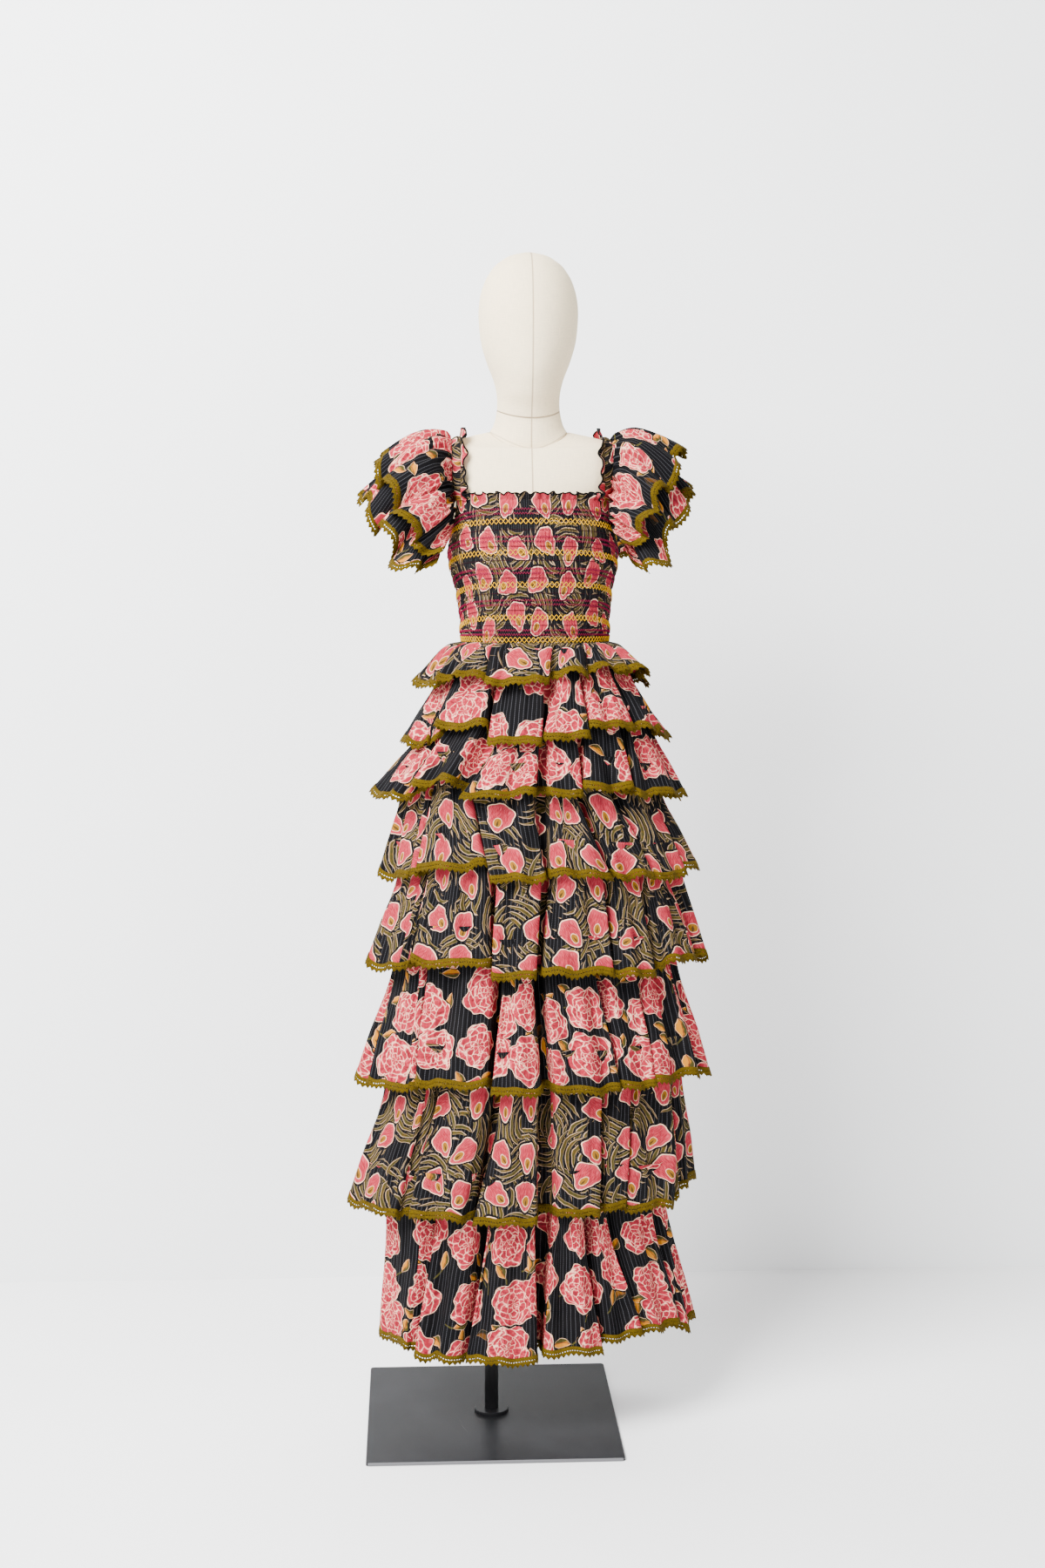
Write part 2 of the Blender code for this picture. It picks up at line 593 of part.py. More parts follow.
def flounce_grid(key, side):
    """Outside of one sleeve flounce, from the armhole and strap to its hem."""
    layer = key.split("_")[0]
    count = SLEEVE_COLUMNS + 1
    stations = smooth_rows(SLEEVES[key], count)
    head = armhole_line(side, count)
    hem = stations[:, :3] * np.array([side, 1.0, 1.0])
    bow = stations[:, 3:] * MM
    around = np.gradient(hem, axis=0)
    out = np.cross(hem - head, around) * side
    out /= np.linalg.norm(out, axis=1)[:, None]
    head += out * SLEEVE_HEAD_LIFT[layer]
    phase = 2 * math.pi * SLEEVE_WAVES * np.arange(count)[:, None] / SLEEVE_COLUMNS
    rows = []
    for part, bowed in ((0.0, 0.0), (0.4, 1.0), (1.0, 0.0)):
        wave = SLEEVE_WAVE[layer] * part ** 1.5 * np.cos(phase)
        rows.append(head + (hem - head) * part + out * (bow * bowed + wave))
    return np.array(rows)


def add_sleeves():
    for key in SLEEVES:
        side = -1 if key.endswith("left") else 1
        outer = flounce_grid(key, side)
        normal = -side * grid_normals(outer)
        add_walls("sleeve_" + key, "rosette_cotton", outer, outer - CLOTH * normal, ring=False)
        run = outer[-1] - outer[-2]
        run /= np.linalg.norm(run, axis=1)[:, None]
        edge = np.array([outer[-1] + run * SEAM_GAP, outer[-1] + run * TRIM_HEIGHT])
        inner = edge - TRIM_THICK * normal[-1][None]
        add_walls("sleeve_trim_" + key, "crochet_edging", edge, inner, ring=False)


def main():
    clear_scene()
    add_stand()
    add_loft("form_torso", "linen_cover", TORSO, FORM_SIDES)
    add_loft("form_neck", "linen_cover", NECK, FORM_SIDES)
    add_loft("form_head", "linen_cover", HEAD, FORM_SIDES)
    add_bodice()
    add_straps()
    add_sleeves()
    add_skirt()


main()
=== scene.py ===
"""Looks of a tiered peasant dress on its linen-covered dress form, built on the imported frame.

Metres, +Z up, the form faces -Y. Lengths in the fold, sleeve and crease tables are millimetres.
"""

import math

import bmesh
import bpy
import numpy as np
from bpy.props import FloatProperty, FloatVectorProperty, IntProperty, PointerProperty
from bpy.types import Operator, Panel, PropertyGroup
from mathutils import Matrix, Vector


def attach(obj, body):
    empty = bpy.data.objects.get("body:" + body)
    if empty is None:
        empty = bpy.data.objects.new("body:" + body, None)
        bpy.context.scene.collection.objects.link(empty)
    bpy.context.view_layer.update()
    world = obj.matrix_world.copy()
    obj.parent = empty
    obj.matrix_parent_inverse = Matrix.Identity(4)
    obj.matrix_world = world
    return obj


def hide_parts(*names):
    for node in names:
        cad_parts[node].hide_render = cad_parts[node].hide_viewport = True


bl_info = {
    "name": "Tiered peasant dress",
    "version": (1, 0, 0),
    "blender": (4, 5, 0),
    "location": "3D View > Sidebar > Dress",
    "description": "Dresses the packed dress and dress form in printed cotton, crochet edging and linen",
    "category": "Object",
}

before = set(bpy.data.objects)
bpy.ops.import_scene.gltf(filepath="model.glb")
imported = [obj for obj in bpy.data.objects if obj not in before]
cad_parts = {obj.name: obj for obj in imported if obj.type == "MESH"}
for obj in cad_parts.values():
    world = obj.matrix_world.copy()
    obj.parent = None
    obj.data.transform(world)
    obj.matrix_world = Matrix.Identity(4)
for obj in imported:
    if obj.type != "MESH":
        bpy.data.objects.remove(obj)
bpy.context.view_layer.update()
MM = 0.001

# ---- Sizes shared with the solids
TRIM_HEIGHT = 13.5 * MM
SEAM_GAP = 0.3 * MM
CLOTH = 1.5 * MM
NEST = 4.5 * MM
WAIST_Z = 1.2540
NECKLINE_Z = 1.4720
UNDERARM_Z = 1.4260
NECKLINE_HALF = 0.1175
STRAP_X = 0.1165
STRAP_HALF = 5.5 * MM
STRAP_CLEAR = 2.8 * MM
STRAP_SEAT = 0.030
ARMHOLE_DEG = (82, 74, 66)
SEAM_OUT = 5.6 * MM
SLEEVE_WAVES = 6
SLEEVE_WAVE = {"upper": 6.5 * MM, "lower": 8.0 * MM}
SLEEVE_HEAD_LIFT = {"upper": 2.0 * MM, "lower": -3.3 * MM}

# ---- Sizes of the detail that only this script has
SMOCKED_WIDE, SMOCKED_TALL = 0.376, 0.218  # one bodice panel as worn
SMOCK_DRAW = 1.42  # length of printed cloth drawn into one length of smocking
BODICE_SHIFT = {"front": 2.2, "back": 0.9}  # where along the print each panel is cut
PRINT_FOOT = 0.35  # and how far up it the waist lies
# Crochet edging, down from the hem: tucked under it, over the eyelets, under them, its points
EDGING_LEVELS = (-1.6 * MM, 3.2 * MM, 6.6 * MM, 13.8 * MM)
EDGING_VALLEY = 9.2 * MM
EYELET_FRAME = 1.42 * MM
EYELET_CORNER = 0.25 * MM
LEAF_LANE = 9.2  # millimetres of cloth for each long leaf
JAW_Z, JAW_DIP = 1.6102, 0.0135  # seam under the head, and how far it runs down in front
COLLAR_Z, COLLAR_DIP = 1.5776, 0.0270  # seam round the foot of the neck
FRONT_SEAM_X = -0.0015
PLATE_X = -0.064
ROSETTE_TIERS = (2, 3, 6, 8)
PRINT_COLOURS = ("Ground", "Rose", "Blush", "Cream", "Leaf", "Ochre")
FADED_COTTON = (0.50, 0.40, 0.36)
SHIRRING_HUE = (0.020, 0.003, 0.008)
BINDING_HUE = (0.004, 0.0036, 0.0042)
SEAM_HUE = (0.30, 0.21, 0.13)
ROOM_HALF = 7.0
WALL_Y, WALL_TOP = 0.69, 5.0
FLOOR_Z = -0.4 * MM
CAMERA_PLACE = (-0.183, -3.417, 1.38)
CAMERA_AHEAD = (0.04955, 0.99877)
CAMERA_TILT_DEG = 5.869

# Dress form, a row a level: height, half width, front depth, back depth, centre x
TORSO = (
    (0.970, 0.132, 0.078, 0.080, 0.004), (0.984, 0.143, 0.086, 0.088, 0.004),
    (1.040, 0.148, 0.088, 0.092, 0.004), (1.120, 0.139, 0.084, 0.088, 0.005),
    (1.190, 0.121, 0.080, 0.084, 0.006), (1.250, 0.1105, 0.082, 0.082, 0.006),
    (1.310, 0.1130, 0.088, 0.083, 0.005), (1.375, 0.1258, 0.103, 0.087, 0.003),
    (1.430, 0.1225, 0.098, 0.090, 0.002), (1.466, 0.1264, 0.088, 0.090, 0.000),
    (1.500, 0.1410, 0.076, 0.085, 0.000), (1.526, 0.1500, 0.066, 0.075, 0.000),
    (1.548, 0.1450, 0.056, 0.062, 0.000), (1.563, 0.1210, 0.048, 0.052, -0.001),
    (1.572, 0.0880, 0.0465, 0.048, -0.003), (1.5775, 0.0620, 0.0460, 0.046, -0.004),
)
NECK = (
    (1.5778, 0.0600, 0.0440, 0.0440, -0.0045), (1.586, 0.0550, 0.0440, 0.0440, -0.0045),
    (1.598, 0.0512, 0.0450, 0.0430, -0.0045), (1.6100, 0.0490, 0.0470, 0.0425, -0.0045),
)
HEAD = (
    (1.6103, 0.0489, 0.0475, 0.0430, -0.0045), (1.622, 0.0483, 0.0560, 0.0450, -0.0045),
    (1.636, 0.0492, 0.0700, 0.0510, -0.0045), (1.654, 0.0532, 0.0808, 0.0615, -0.0045),
    (1.682, 0.0638, 0.0883, 0.0803, -0.0045), (1.712, 0.0727, 0.0915, 0.0920, -0.0045),
    (1.740, 0.0762, 0.0925, 0.0965, -0.0045), (1.768, 0.0766, 0.0905, 0.0960, -0.0045),
    (1.795, 0.0715, 0.0835, 0.0880, -0.0045), (1.818, 0.0610, 0.0710, 0.0740, -0.0045),
    (1.836, 0.0445, 0.0520, 0.0540, -0.0045), (1.847, 0.0230, 0.0270, 0.0280, -0.0045),
    (1.851, 0.0060, 0.0070, 0.0070, -0.0045),
)
BODICE = (
    (1.2540, 0.1150, 0.0880, 0.0875, 0.006), (1.2930, 0.1163, 0.0915, 0.0880, 0.0055),
    (1.3430, 0.1230, 0.1020, 0.0900, 0.004), (1.3780, 0.1312, 0.1085, 0.0925, 0.003),
    (1.4000, 0.1303, 0.1080, 0.0945, 0.0025), (1.4390, 0.1272, 0.1035, 0.0965, 0.002),
    (1.4740, 0.1300, 0.0935, 0.0985, 0.001),
)
# Skirt tiers, named columns as in the solids
TIERS = {
    1: dict(front=1.193, side=1.178, half=0.170, deep=0.120, centre=0.004, over=0.000, narrow=1.000),
    2: dict(front=1.100, side=1.088, half=0.199, deep=0.131, centre=0.009, over=0.028, narrow=0.872),
    3: dict(front=1.018, side=1.000, half=0.234, deep=0.141, centre=0.000, over=0.030, narrow=0.915),
    4: dict(front=0.893, side=0.874, half=0.240, deep=0.146, centre=0.016, over=0.040, narrow=0.870),
    5: dict(front=0.743, side=0.735, half=0.258, deep=0.149, centre=0.008, over=0.045, narrow=0.925),
    6: dict(front=0.564, side=0.553, half=0.271, deep=0.151, centre=0.006, over=0.050, narrow=0.860),
    7: dict(front=0.361, side=0.355, half=0.265, deep=0.147, centre=-0.012, over=0.055, narrow=0.870),
    8: dict(front=0.132, side=0.135, half=0.247, deep=0.138, centre=0.012, over=0.060, narrow=0.850),
}
# Large folds: angle of the valley, width of its mouth, its depth, then of the lobe to its right
# how far it stands out and hangs short
FRONT_FOLDS = {
    1: ((-68, 12, 12, 4, 12), (-34, 9, 16, 5, -2), (14, 14, 17, 4, 11), (39, 9, 14, 4, 22),
        (63, 9, 14, 3, 21), (88, 12, 12, 4, 3)),
    2: ((-63, 14, 20, 5, 28), (-32, 14, 22, 7, 1), (6, 9, 20, 5, 8), (33, 9, 18, 4, 27),
        (60, 10, 16, 4, 22), (80, 13, 16, 4, 8)),
    3: ((-65, 14, 26, 5, 30), (-43, 12, 20, 7, 4), (4, 28, 24, 6, 4), (29, 10, 20, 6, 18),
        (54, 10, 18, 6, 11), (77, 14, 22, 4, 7)),
    4: ((-66, 13, 26, 6, 24), (-29, 12, 30, 8, 0), (7, 11, 27, 7, 8), (42, 11, 25, 6, 10),
        (60, 9, 12, 5, 9), (76, 14, 25, 4, 18)),
    5: ((-67, 12, 30, 6, 20), (-26, 13, 34, 9, 0), (2, 15, 32, 7, 5), (42, 12, 27, 5, 2),
        (62, 10, 25, 4, 16), (82, 14, 24, 4, 12)),
    6: ((-60, 13, 30, 5, 12), (-27, 12, 36, 9, 0), (7, 24, 36, 7, 2), (44, 11, 30, 5, 7),
        (59, 10, 26, 4, 15), (81, 14, 28, 4, 8)),
    7: ((-63, 16, 34, 5, 4), (-36, 13, 36, 10, -2), (7, 36, 42, 7, 9), (38, 12, 32, 3, 14),
        (51, 10, 26, 4, 8), (78, 14, 34, 3, 26)),
    8: ((-66, 14, 40, 9, -6), (-43, 18, 46, 10, 0), (3, 21, 52, 5, 12), (42, 12, 38, -6, 24),
        (61, 12, 34, -5, 26), (80, 14, 34, 0, 10)),
}
BACK_FOLDS = ((110, 13, 1.00, 4, 4), (138, 12, 0.85, 6, 12), (171, 14, 1.10, 5, 3),
              (206, 12, 0.90, 7, 9), (243, 13, 1.05, 5, 6))
BACK_DEPTH = {1: 14, 2: 19, 3: 23, 4: 26, 5: 30, 6: 32, 7: 35, 8: 40}
WANDER_DEG = 3.5
# Soft creases on the lobes in front, a row a crease: angle at the top and at the hem, where it
# starts and ends (0 is the hem above, 1 its own hem), width, height (a trough is negative).
# The back takes the same rows turned round and made weaker.
CREASES = {
    1: ((-52, -56, 0.0, 1.0, 9, -3.5), (-20, -24, 0.0, 0.9, 8, -3), (-6, -6, 0.0, 1.0, 9, 3),
        (4, 5, 0.1, 1.0, 7, -3), (24, 27, 0.0, 1.0, 8, -3), (50, 52, 0.0, 1.0, 8, -3)),
    2: ((-50, -52, 0.0, 1.0, 10, -4), (-42, -44, 0.0, 0.8, 8, 3), (-20, -23, 0.0, 1.0, 9, -4),
        (-9, -10, 0.0, 1.0, 9, 3), (14, 16, 0.0, 0.7, 8, -4), (24, 26, 0.0, 1.0, 10, 3),
        (44, 47, 0.0, 1.0, 9, -4), (70, 71, 0.0, 1.0, 9, -3)),
    3: ((-55, -56, 0.0, 0.9, 10, -4), (-32, -35, 0.0, 1.0, 11, -4), (-22, -25, 0.1, 0.8, 9, 3),
        (-12, -14, 0.0, 1.0, 10, -5), (14, 16, 0.0, 1.0, 10, -4), (40, 43, 0.0, 1.0, 10, -4),
        (64, 66, 0.0, 0.9, 9, -4)),
    4: ((-50, -52, 0.0, 0.9, 11, -5), (-41, -43, 0.0, 0.7, 9, 3), (-18, -21, 0.0, 1.0, 11, -5),
        (-6, -8, 0.0, 0.8, 11, 4), (17, 19, 0.0, 0.9, 11, -5), (27, 31, 0.0, 1.0, 12, 4),
        (51, 51, 0.0, 0.8, 9, -4), (68, 69, 0.0, 0.9, 9, -3)),
    5: ((-56, -58, 0.0, 0.9, 11, -5), (-46, -47, 0.0, 0.7, 10, 4), (-38, -40, 0.0, 1.0, 12, -5),
        (-16, -18, 0.0, 1.0, 12, -6), (-7, -8, 0.0, 0.7, 10, 4), (12, 14, 0.0, 0.9, 12, -5),
        (22, 25, 0.0, 0.7, 11, 4), (31, 34, 0.0, 1.0, 11, -5), (52, 53, 0.0, 0.9, 10, -4),
        (71, 72, 0.0, 0.9, 10, -4)),
    6: ((-50, -52, 0.0, 0.9, 12, -6), (-40, -43, 0.0, 0.8, 11, 4), (-18, -20, 0.0, 1.0, 12, -6),
        (-8, -9, 0.0, 0.8, 12, 5), (16, 19, 0.0, 0.9, 13, -6), (26, 30, 0.0, 0.8, 12, 5),
        (36, 38, 0.0, 1.0, 10, -5), (51, 52, 0.0, 0.9, 10, -4), (70, 71, 0.0, 1.0, 11, -5)),
    7: ((-53, -54, 0.0, 0.9, 13, -6), (-45, -47, 0.0, 0.8, 11, 5), (-26, -27, 0.0, 0.9, 12, -6),
        (-16, -17, 0.0, 0.7, 11, 5), (-6, -7, 0.0, 1.0, 13, -6), (20, 22, 0.0, 0.9, 13, -6),
        (29, 31, 0.0, 0.8, 11, 5), (62, 64, 0.0, 1.0, 13, -6), (71, 72, 0.0, 0.8, 11, 4)),
    8: ((-56, -56, 0.0, 0.9, 14, -7), (-32, -34, 0.0, 0.9, 14, -7), (-24, -25, 0.0, 0.8, 12, 5),
        (-12, -14, 0.0, 1.0, 15, -8), (16, 18, 0.0, 0.9, 14, -7), (27, 29, 0.0, 0.9, 13, 6),
        (35, 36, 0.0, 1.0, 11, -5), (51, 52, 0.0, 0.9, 11, -5), (70, 71, 0.0, 1.0, 13, -6)),
}
# Sleeve flounces, a row a section over the shoulder: hem point out, forward and up, and the bow
SLEEVES = {
    "upper_left": ((0.140, -0.080, 1.396, 13), (0.166, -0.104, 1.406, 18), (0.187, -0.110, 1.452, 20),
                   (0.211, -0.098, 1.489, 21), (0.227, -0.062, 1.524, 22), (0.230, -0.018, 1.548, 17),
                   (0.231, 0.028, 1.544, 17), (0.224, 0.068, 1.520, 20), (0.203, 0.097, 1.480, 20),
                   (0.174, 0.102, 1.436, 18), (0.142, 0.082, 1.404, 12)),
    "lower_left": ((0.147, -0.070, 1.384, 3), (0.168, -0.092, 1.374, 9), (0.196, -0.096, 1.378, 14),
                   (0.214, -0.092, 1.416, 16), (0.238, -0.077, 1.452, 18), (0.258, -0.037, 1.476, 21),
                   (0.260, 0.006, 1.496, 20), (0.251, 0.048, 1.488, 20), (0.228, 0.084, 1.456, 18),
                   (0.190, 0.098, 1.410, 13), (0.148, 0.076, 1.386, 6)),
    "upper_right": ((0.139, -0.079, 1.406, 11), (0.152, -0.104, 1.418, 14), (0.163, -0.112, 1.456, 17),
                    (0.183, -0.102, 1.490, 20), (0.207, -0.074, 1.520, 23), (0.224, -0.028, 1.553, 21),
                    (0.229, 0.014, 1.563, 19), (0.222, 0.055, 1.545, 21), (0.203, 0.088, 1.506, 20),
                    (0.174, 0.102, 1.456, 17), (0.141, 0.080, 1.408, 11)),
    "lower_right": ((0.145, -0.070, 1.386, 3), (0.163, -0.092, 1.374, 8), (0.189, -0.096, 1.384, 13),
                    (0.204, -0.086, 1.428, 15), (0.226, -0.058, 1.462, 18), (0.244, -0.022, 1.488, 20),
                    (0.246, 0.016, 1.499, 19), (0.240, 0.050, 1.490, 19), (0.222, 0.082, 1.458, 17),
                    (0.188, 0.098, 1.414, 12), (0.147, 0.076, 1.388, 6)),
}
# Deep pleats of the flounces, shared by both layers so that they nest: place along the hem,
# width of the mouth as a share of it, depth
SLEEVE_FOLDS = {
    -1: ((0.115, 0.030, 11), (0.240, 0.036, 18), (0.385, 0.038, 27), (0.530, 0.032, 16), (0.665, 0.034, 20),
         (0.800, 0.030, 18), (0.905, 0.022, 10)),
    1: ((0.105, 0.028, 11), (0.225, 0.036, 19), (0.360, 0.038, 27), (0.490, 0.032, 16), (0.615, 0.034, 18),
        (0.745, 0.030, 18), (0.880, 0.024, 12)),
}
# Smocking, a row a line of stitches: kind, height in the middle, height at the side seams
STITCH_ROWS = (
    ("cross", 1.4390, 1.4140), ("cross", 1.3920, 1.3660), ("cross", 1.3430, 1.3190),
    ("cross", 1.2930, 1.2710), ("cross", 1.2585, 1.2580),
    ("cable", 1.4540, 1.4210), ("cable", 1.4120, 1.3870), ("cable", 1.3640, 1.3400),
    ("cable", 1.3160, 1.2930), ("cable", 1.2700, 1.2640),
    ("shirr", 1.4260, 1.4010), ("shirr", 1.4010, 1.3760), ("shirr", 1.3800, 1.3550),
    ("shirr", 1.3530, 1.3290), ("shirr", 1.3300, 1.3070), ("shirr", 1.3040, 1.2820),
    ("shirr", 1.2810, 1.2670),
)
PUFFS = ((1.254, 0.0), (1.2735, 1.5), (1.293, 0.0), (1.318, 1.5), (1.343, 0.0), (1.368, 1.5),
         (1.392, 0.0), (1.416, 1.5), (1.439, 0.0), (1.456, 0.8), (1.472, 0.0))


class DressColours(PropertyGroup):
    """Colours of the printed cotton and its edging, scene linear."""

    ground: FloatVectorProperty(name="Ground", description="Black ground of both prints",
                                subtype="COLOR", default=(0.0030, 0.0030, 0.0036))
    rose: FloatVectorProperty(name="Rose", description="Deep pink of the flowers",
                              subtype="COLOR", default=(0.260, 0.0150, 0.0270))
    blush: FloatVectorProperty(name="Blush", description="Light pink of the petals",
                               subtype="COLOR", default=(0.500, 0.0700, 0.0850))
    cream: FloatVectorProperty(name="Cream", description="Outline of petals and leaves",
                               subtype="COLOR", default=(0.80, 0.520, 0.340))
    leaf: FloatVectorProperty(name="Leaf", description="Olive of the leaf sprays",
                              subtype="COLOR", default=(0.0400, 0.0340, 0.0085))
    ochre: FloatVectorProperty(name="Ochre", description="Flower centres and single leaves",
                               subtype="COLOR", default=(0.400, 0.1450, 0.0045))
    stitch: FloatVectorProperty(name="Running stitch", description="Grey quilting thread",
                                subtype="COLOR", default=(0.070, 0.070, 0.078))
    edging: FloatVectorProperty(name="Edging", description="Olive crochet yarn",
                                subtype="COLOR", default=(0.0740, 0.0460, 0.0012))
    yellow: FloatVectorProperty(name="Yellow thread", description="Cross stitches of the smocking",
                                subtype="COLOR", default=(0.600, 0.3100, 0.0025))
    magenta: FloatVectorProperty(name="Magenta thread", description="Cable stitches of the smocking",
                                 subtype="COLOR", default=(0.230, 0.0080, 0.0450))
    linen: FloatVectorProperty(name="Linen", description="Cover of the dress form",
                               subtype="COLOR", default=(0.90, 0.75, 0.50))
    steel: FloatVectorProperty(name="Steel", description="Satin black paint of the stand",
                               subtype="COLOR", default=(0.0090, 0.0090, 0.0100))


class DressSizes(PropertyGroup):
    """Fineness of the cloth and sizes of the hand work."""

    cloth_step: FloatProperty(name="Cloth step", description="Width of one strip of a tier's mesh",
                              subtype="DISTANCE", default=3.2 * MM)
    tier_rows: IntProperty(name="Tier rows", description="Rows of mesh down a tier", default=26)
    gather: FloatProperty(name="Gathers", description="Height of the small gathers at a seam",
                          subtype="DISTANCE", default=2.6 * MM)
    tooth: FloatProperty(name="Edging tooth", description="Width of one point of the crochet edging",
                         subtype="DISTANCE", default=8.8 * MM)
    cross_pitch: FloatProperty(name="Cross stitch", description="Width of one yellow cross",
                               subtype="DISTANCE", default=7.2 * MM)
    stitch_rows: FloatProperty(name="Stitch rows", description="Gap between rows of running stitch",
                               subtype="DISTANCE", default=6.6 * MM)


class StageLights(PropertyGroup):
    """Strength of the soft studio light."""

    key: FloatProperty(name="Key", description="Large soft light in front, to the left",
                       subtype="POWER", default=760.0)
    fill: FloatProperty(name="Fill", description="Soft light from the right", subtype="POWER",
                        default=95.0)
    room: FloatProperty(name="Room", description="Brightness of the white room", default=0.34)


# ---- Shapes worked out as in the solids

def level_at(rows, z):
    """The columns of a table of levels at one height, straight between its rows."""
    heights = [row[0] for row in rows]
    return [np.interp(z, heights, [row[column] for row in rows]) for column in (1, 2, 3, 4)]


def soft_levels(rows, z):
    """As level_at, on a smooth curve through the rows; z is an array."""
    table = np.array(rows)
    heights = table[:, 0]
    slope = np.gradient(table[:, 1:], heights, axis=0)
    k = np.clip(np.searchsorted(heights, z) - 1, 0, len(heights) - 2)
    step = (heights[k + 1] - heights[k])[..., None]
    t = np.clip((z - heights[k])[..., None] / step, 0, 1)
    a, b = table[k, 1:], table[k + 1, 1:]
    ma, mb = slope[k] * step, slope[k + 1] * step
    made = (2 * t**3 - 3 * t**2 + 1) * a + (t**3 - 2 * t**2 + t) * ma
    made += (3 * t**2 - 2 * t**3) * b + (t**3 - t**2) * mb
    return [made[..., column] for column in range(4)]


def oval(levels, angle, z):
    """Points round an oval whose front and back have their own depths; angle 0 is the front."""
    half, front, back, centre = levels
    depth = np.where(np.cos(angle) > 0, front, back)
    return np.stack(np.broadcast_arrays(centre + half * np.sin(angle), -depth * np.cos(angle), z), axis=-1)


def oval_point(rows, z, angle):
    """One point of the oval at a height of a table."""
    return tuple(float(part) for part in oval(level_at(rows, z), angle, z))


def inset(ring, distance):
    """A ring moved inwards by a distance, square to its own outline."""
    flat = ring[:, :2]
    along = np.roll(flat, -1, axis=0) - flat
    along /= np.linalg.norm(along, axis=1)[:, None]
    normal = np.stack([-along[:, 1], along[:, 0]], axis=1)
    before = np.roll(normal, 1, axis=0)
    mitre = (normal + before) / np.maximum(1 + (normal * before).sum(axis=1), 0.35)[:, None]
    moved = ring.copy()
    moved[:, :2] += mitre * distance
    return moved


def skirt_radius(tier, angle):
    """How far the tier's plain outline lies from the axis of the form."""
    size = TIERS[tier]
    x, y = np.sin(angle), -np.cos(angle)
    a = (x / size["half"]) ** 2 + (y / size["deep"]) ** 2
    b = -2 * x * size["centre"] / size["half"] ** 2
    c = (size["centre"] / size["half"]) ** 2 - 1
    return (-b + np.sqrt(b * b - 4 * a * c)) / (2 * a)


def folds_of(tier):
    """All the tier's large folds, front and back, in order round it."""
    rows = [tuple(row) for row in FRONT_FOLDS[tier]]
    for place, (angle, mouth, part, bulge, rise) in enumerate(BACK_FOLDS):
        swing = WANDER_DEG * math.sin(1.9 * tier + 2.3 * place)
        rise += 4 * math.sin(tier + place)
        rows.append((angle + swing, mouth, part * BACK_DEPTH[tier], bulge, rise))
    return rows


def hem_ring(tier):
    """The tier's hem: in and out at each large fold, and up and down with it."""
    size = TIERS[tier]
    folds = folds_of(tier)
    polar = []
    for index, (angle, mouth, depth, bulge, rise) in enumerate(folds):
        before, after = folds[index - 1], folds[(index + 1) % len(folds)]
        middle = math.radians(angle)
        radius = skirt_radius(tier, middle)
        open_half = mouth * MM / 2 / radius
        floor_half = 0.42 * open_half * radius / (radius - depth * MM)
        far = math.radians(after[0]) + (2 * math.pi if index == len(folds) - 1 else 0)
        far -= after[1] * MM / 2 / skirt_radius(tier, far)
        near = middle + open_half
        polar.append((middle - open_half, before[3] - 2.5, before[4]))
        polar.append((middle - floor_half, -depth, (rise + before[4]) / 2))
        polar.append((middle + floor_half, -depth, (rise + before[4]) / 2))
        polar.append((near, bulge - 2.5, rise))
        polar.append((near + 0.33 * (far - near), bulge + 2.0, rise))
        polar.append((near + 0.67 * (far - near), bulge + 2.0, rise))
    angle, out, rise = np.array(polar).T
    radius = skirt_radius(tier, angle) + out * MM
    z = size["front"] * np.cos(angle) ** 2 + size["side"] * np.sin(angle) ** 2 + TRIM_HEIGHT + rise * MM
    return np.stack([radius * np.sin(angle), -radius * np.cos(angle), z], axis=1)


def polar_mix(first, second, part):
    """A ring between two rings of the same count, by angle and radius."""
    angle_a, angle_b = (np.unwrap(np.arctan2(ring[:, 0], -ring[:, 1])) for ring in (first, second))
    angle_b += 2 * np.pi * np.round((angle_a[0] - angle_b[0]) / (2 * np.pi))
    radius_a, radius_b = (np.hypot(ring[:, 0], ring[:, 1]) for ring in (first, second))
    angle = angle_a + (angle_b - angle_a) * part
    radius = radius_a + (radius_b - radius_a) * part
    z = first[:, 2] + (second[:, 2] - first[:, 2]) * part
    return np.stack([radius * np.sin(angle), -radius * np.cos(angle), z], axis=1)


def tier_rings():
    """Rings of each tier from its top seam to its hem; each next tier starts inside the last."""
    rings = {}
    for tier in TIERS:
        hem = hem_ring(tier)
        if tier == 1:
            angles = np.arctan2(hem[:, 0], -hem[:, 1])
            top = np.array([oval_point(BODICE, WAIST_Z, angle) for angle in angles])
            top[:, 2] = WAIST_Z - SEAM_GAP
            out = polar_mix(top, hem, np.full(len(hem), 0.36))
            out[:, 2] = WAIST_Z - 8 * MM
        else:
            above = rings[tier - 1]
            top = inset(above[-2], CLOTH + SEAM_GAP)
            out = inset(above[-1], NEST) * np.array([TIERS[tier]["narrow"]] * 2 + [1.0])
        rings[tier] = [top, out, hem]
        if 1 < tier < 8:
            height = out[:, 2] - hem[:, 2]
            over = np.minimum(TIERS[tier + 1]["over"], 0.6 * height)
            rings[tier] = [top, out, polar_mix(out, hem, 1 - over / height), hem]
    return rings


def bodice_top(x):
    """Height of the bodice's top edge, scooped under the arms."""
    past = np.clip((np.abs(x) - NECKLINE_HALF) / (0.1285 - NECKLINE_HALF), 0.0, 1.0)
    return NECKLINE_Z - (NECKLINE_Z - UNDERARM_Z) * past**0.7


def torso_edge(x, z, forward):
    """Depth of the form's surface in front or behind, at a width and a height."""
    half, front, back, centre = level_at(TORSO, z)
    inside = ((x - centre) / half) ** 2
    return (front if forward else back) * math.sqrt(max(1 - inside, 0.0))


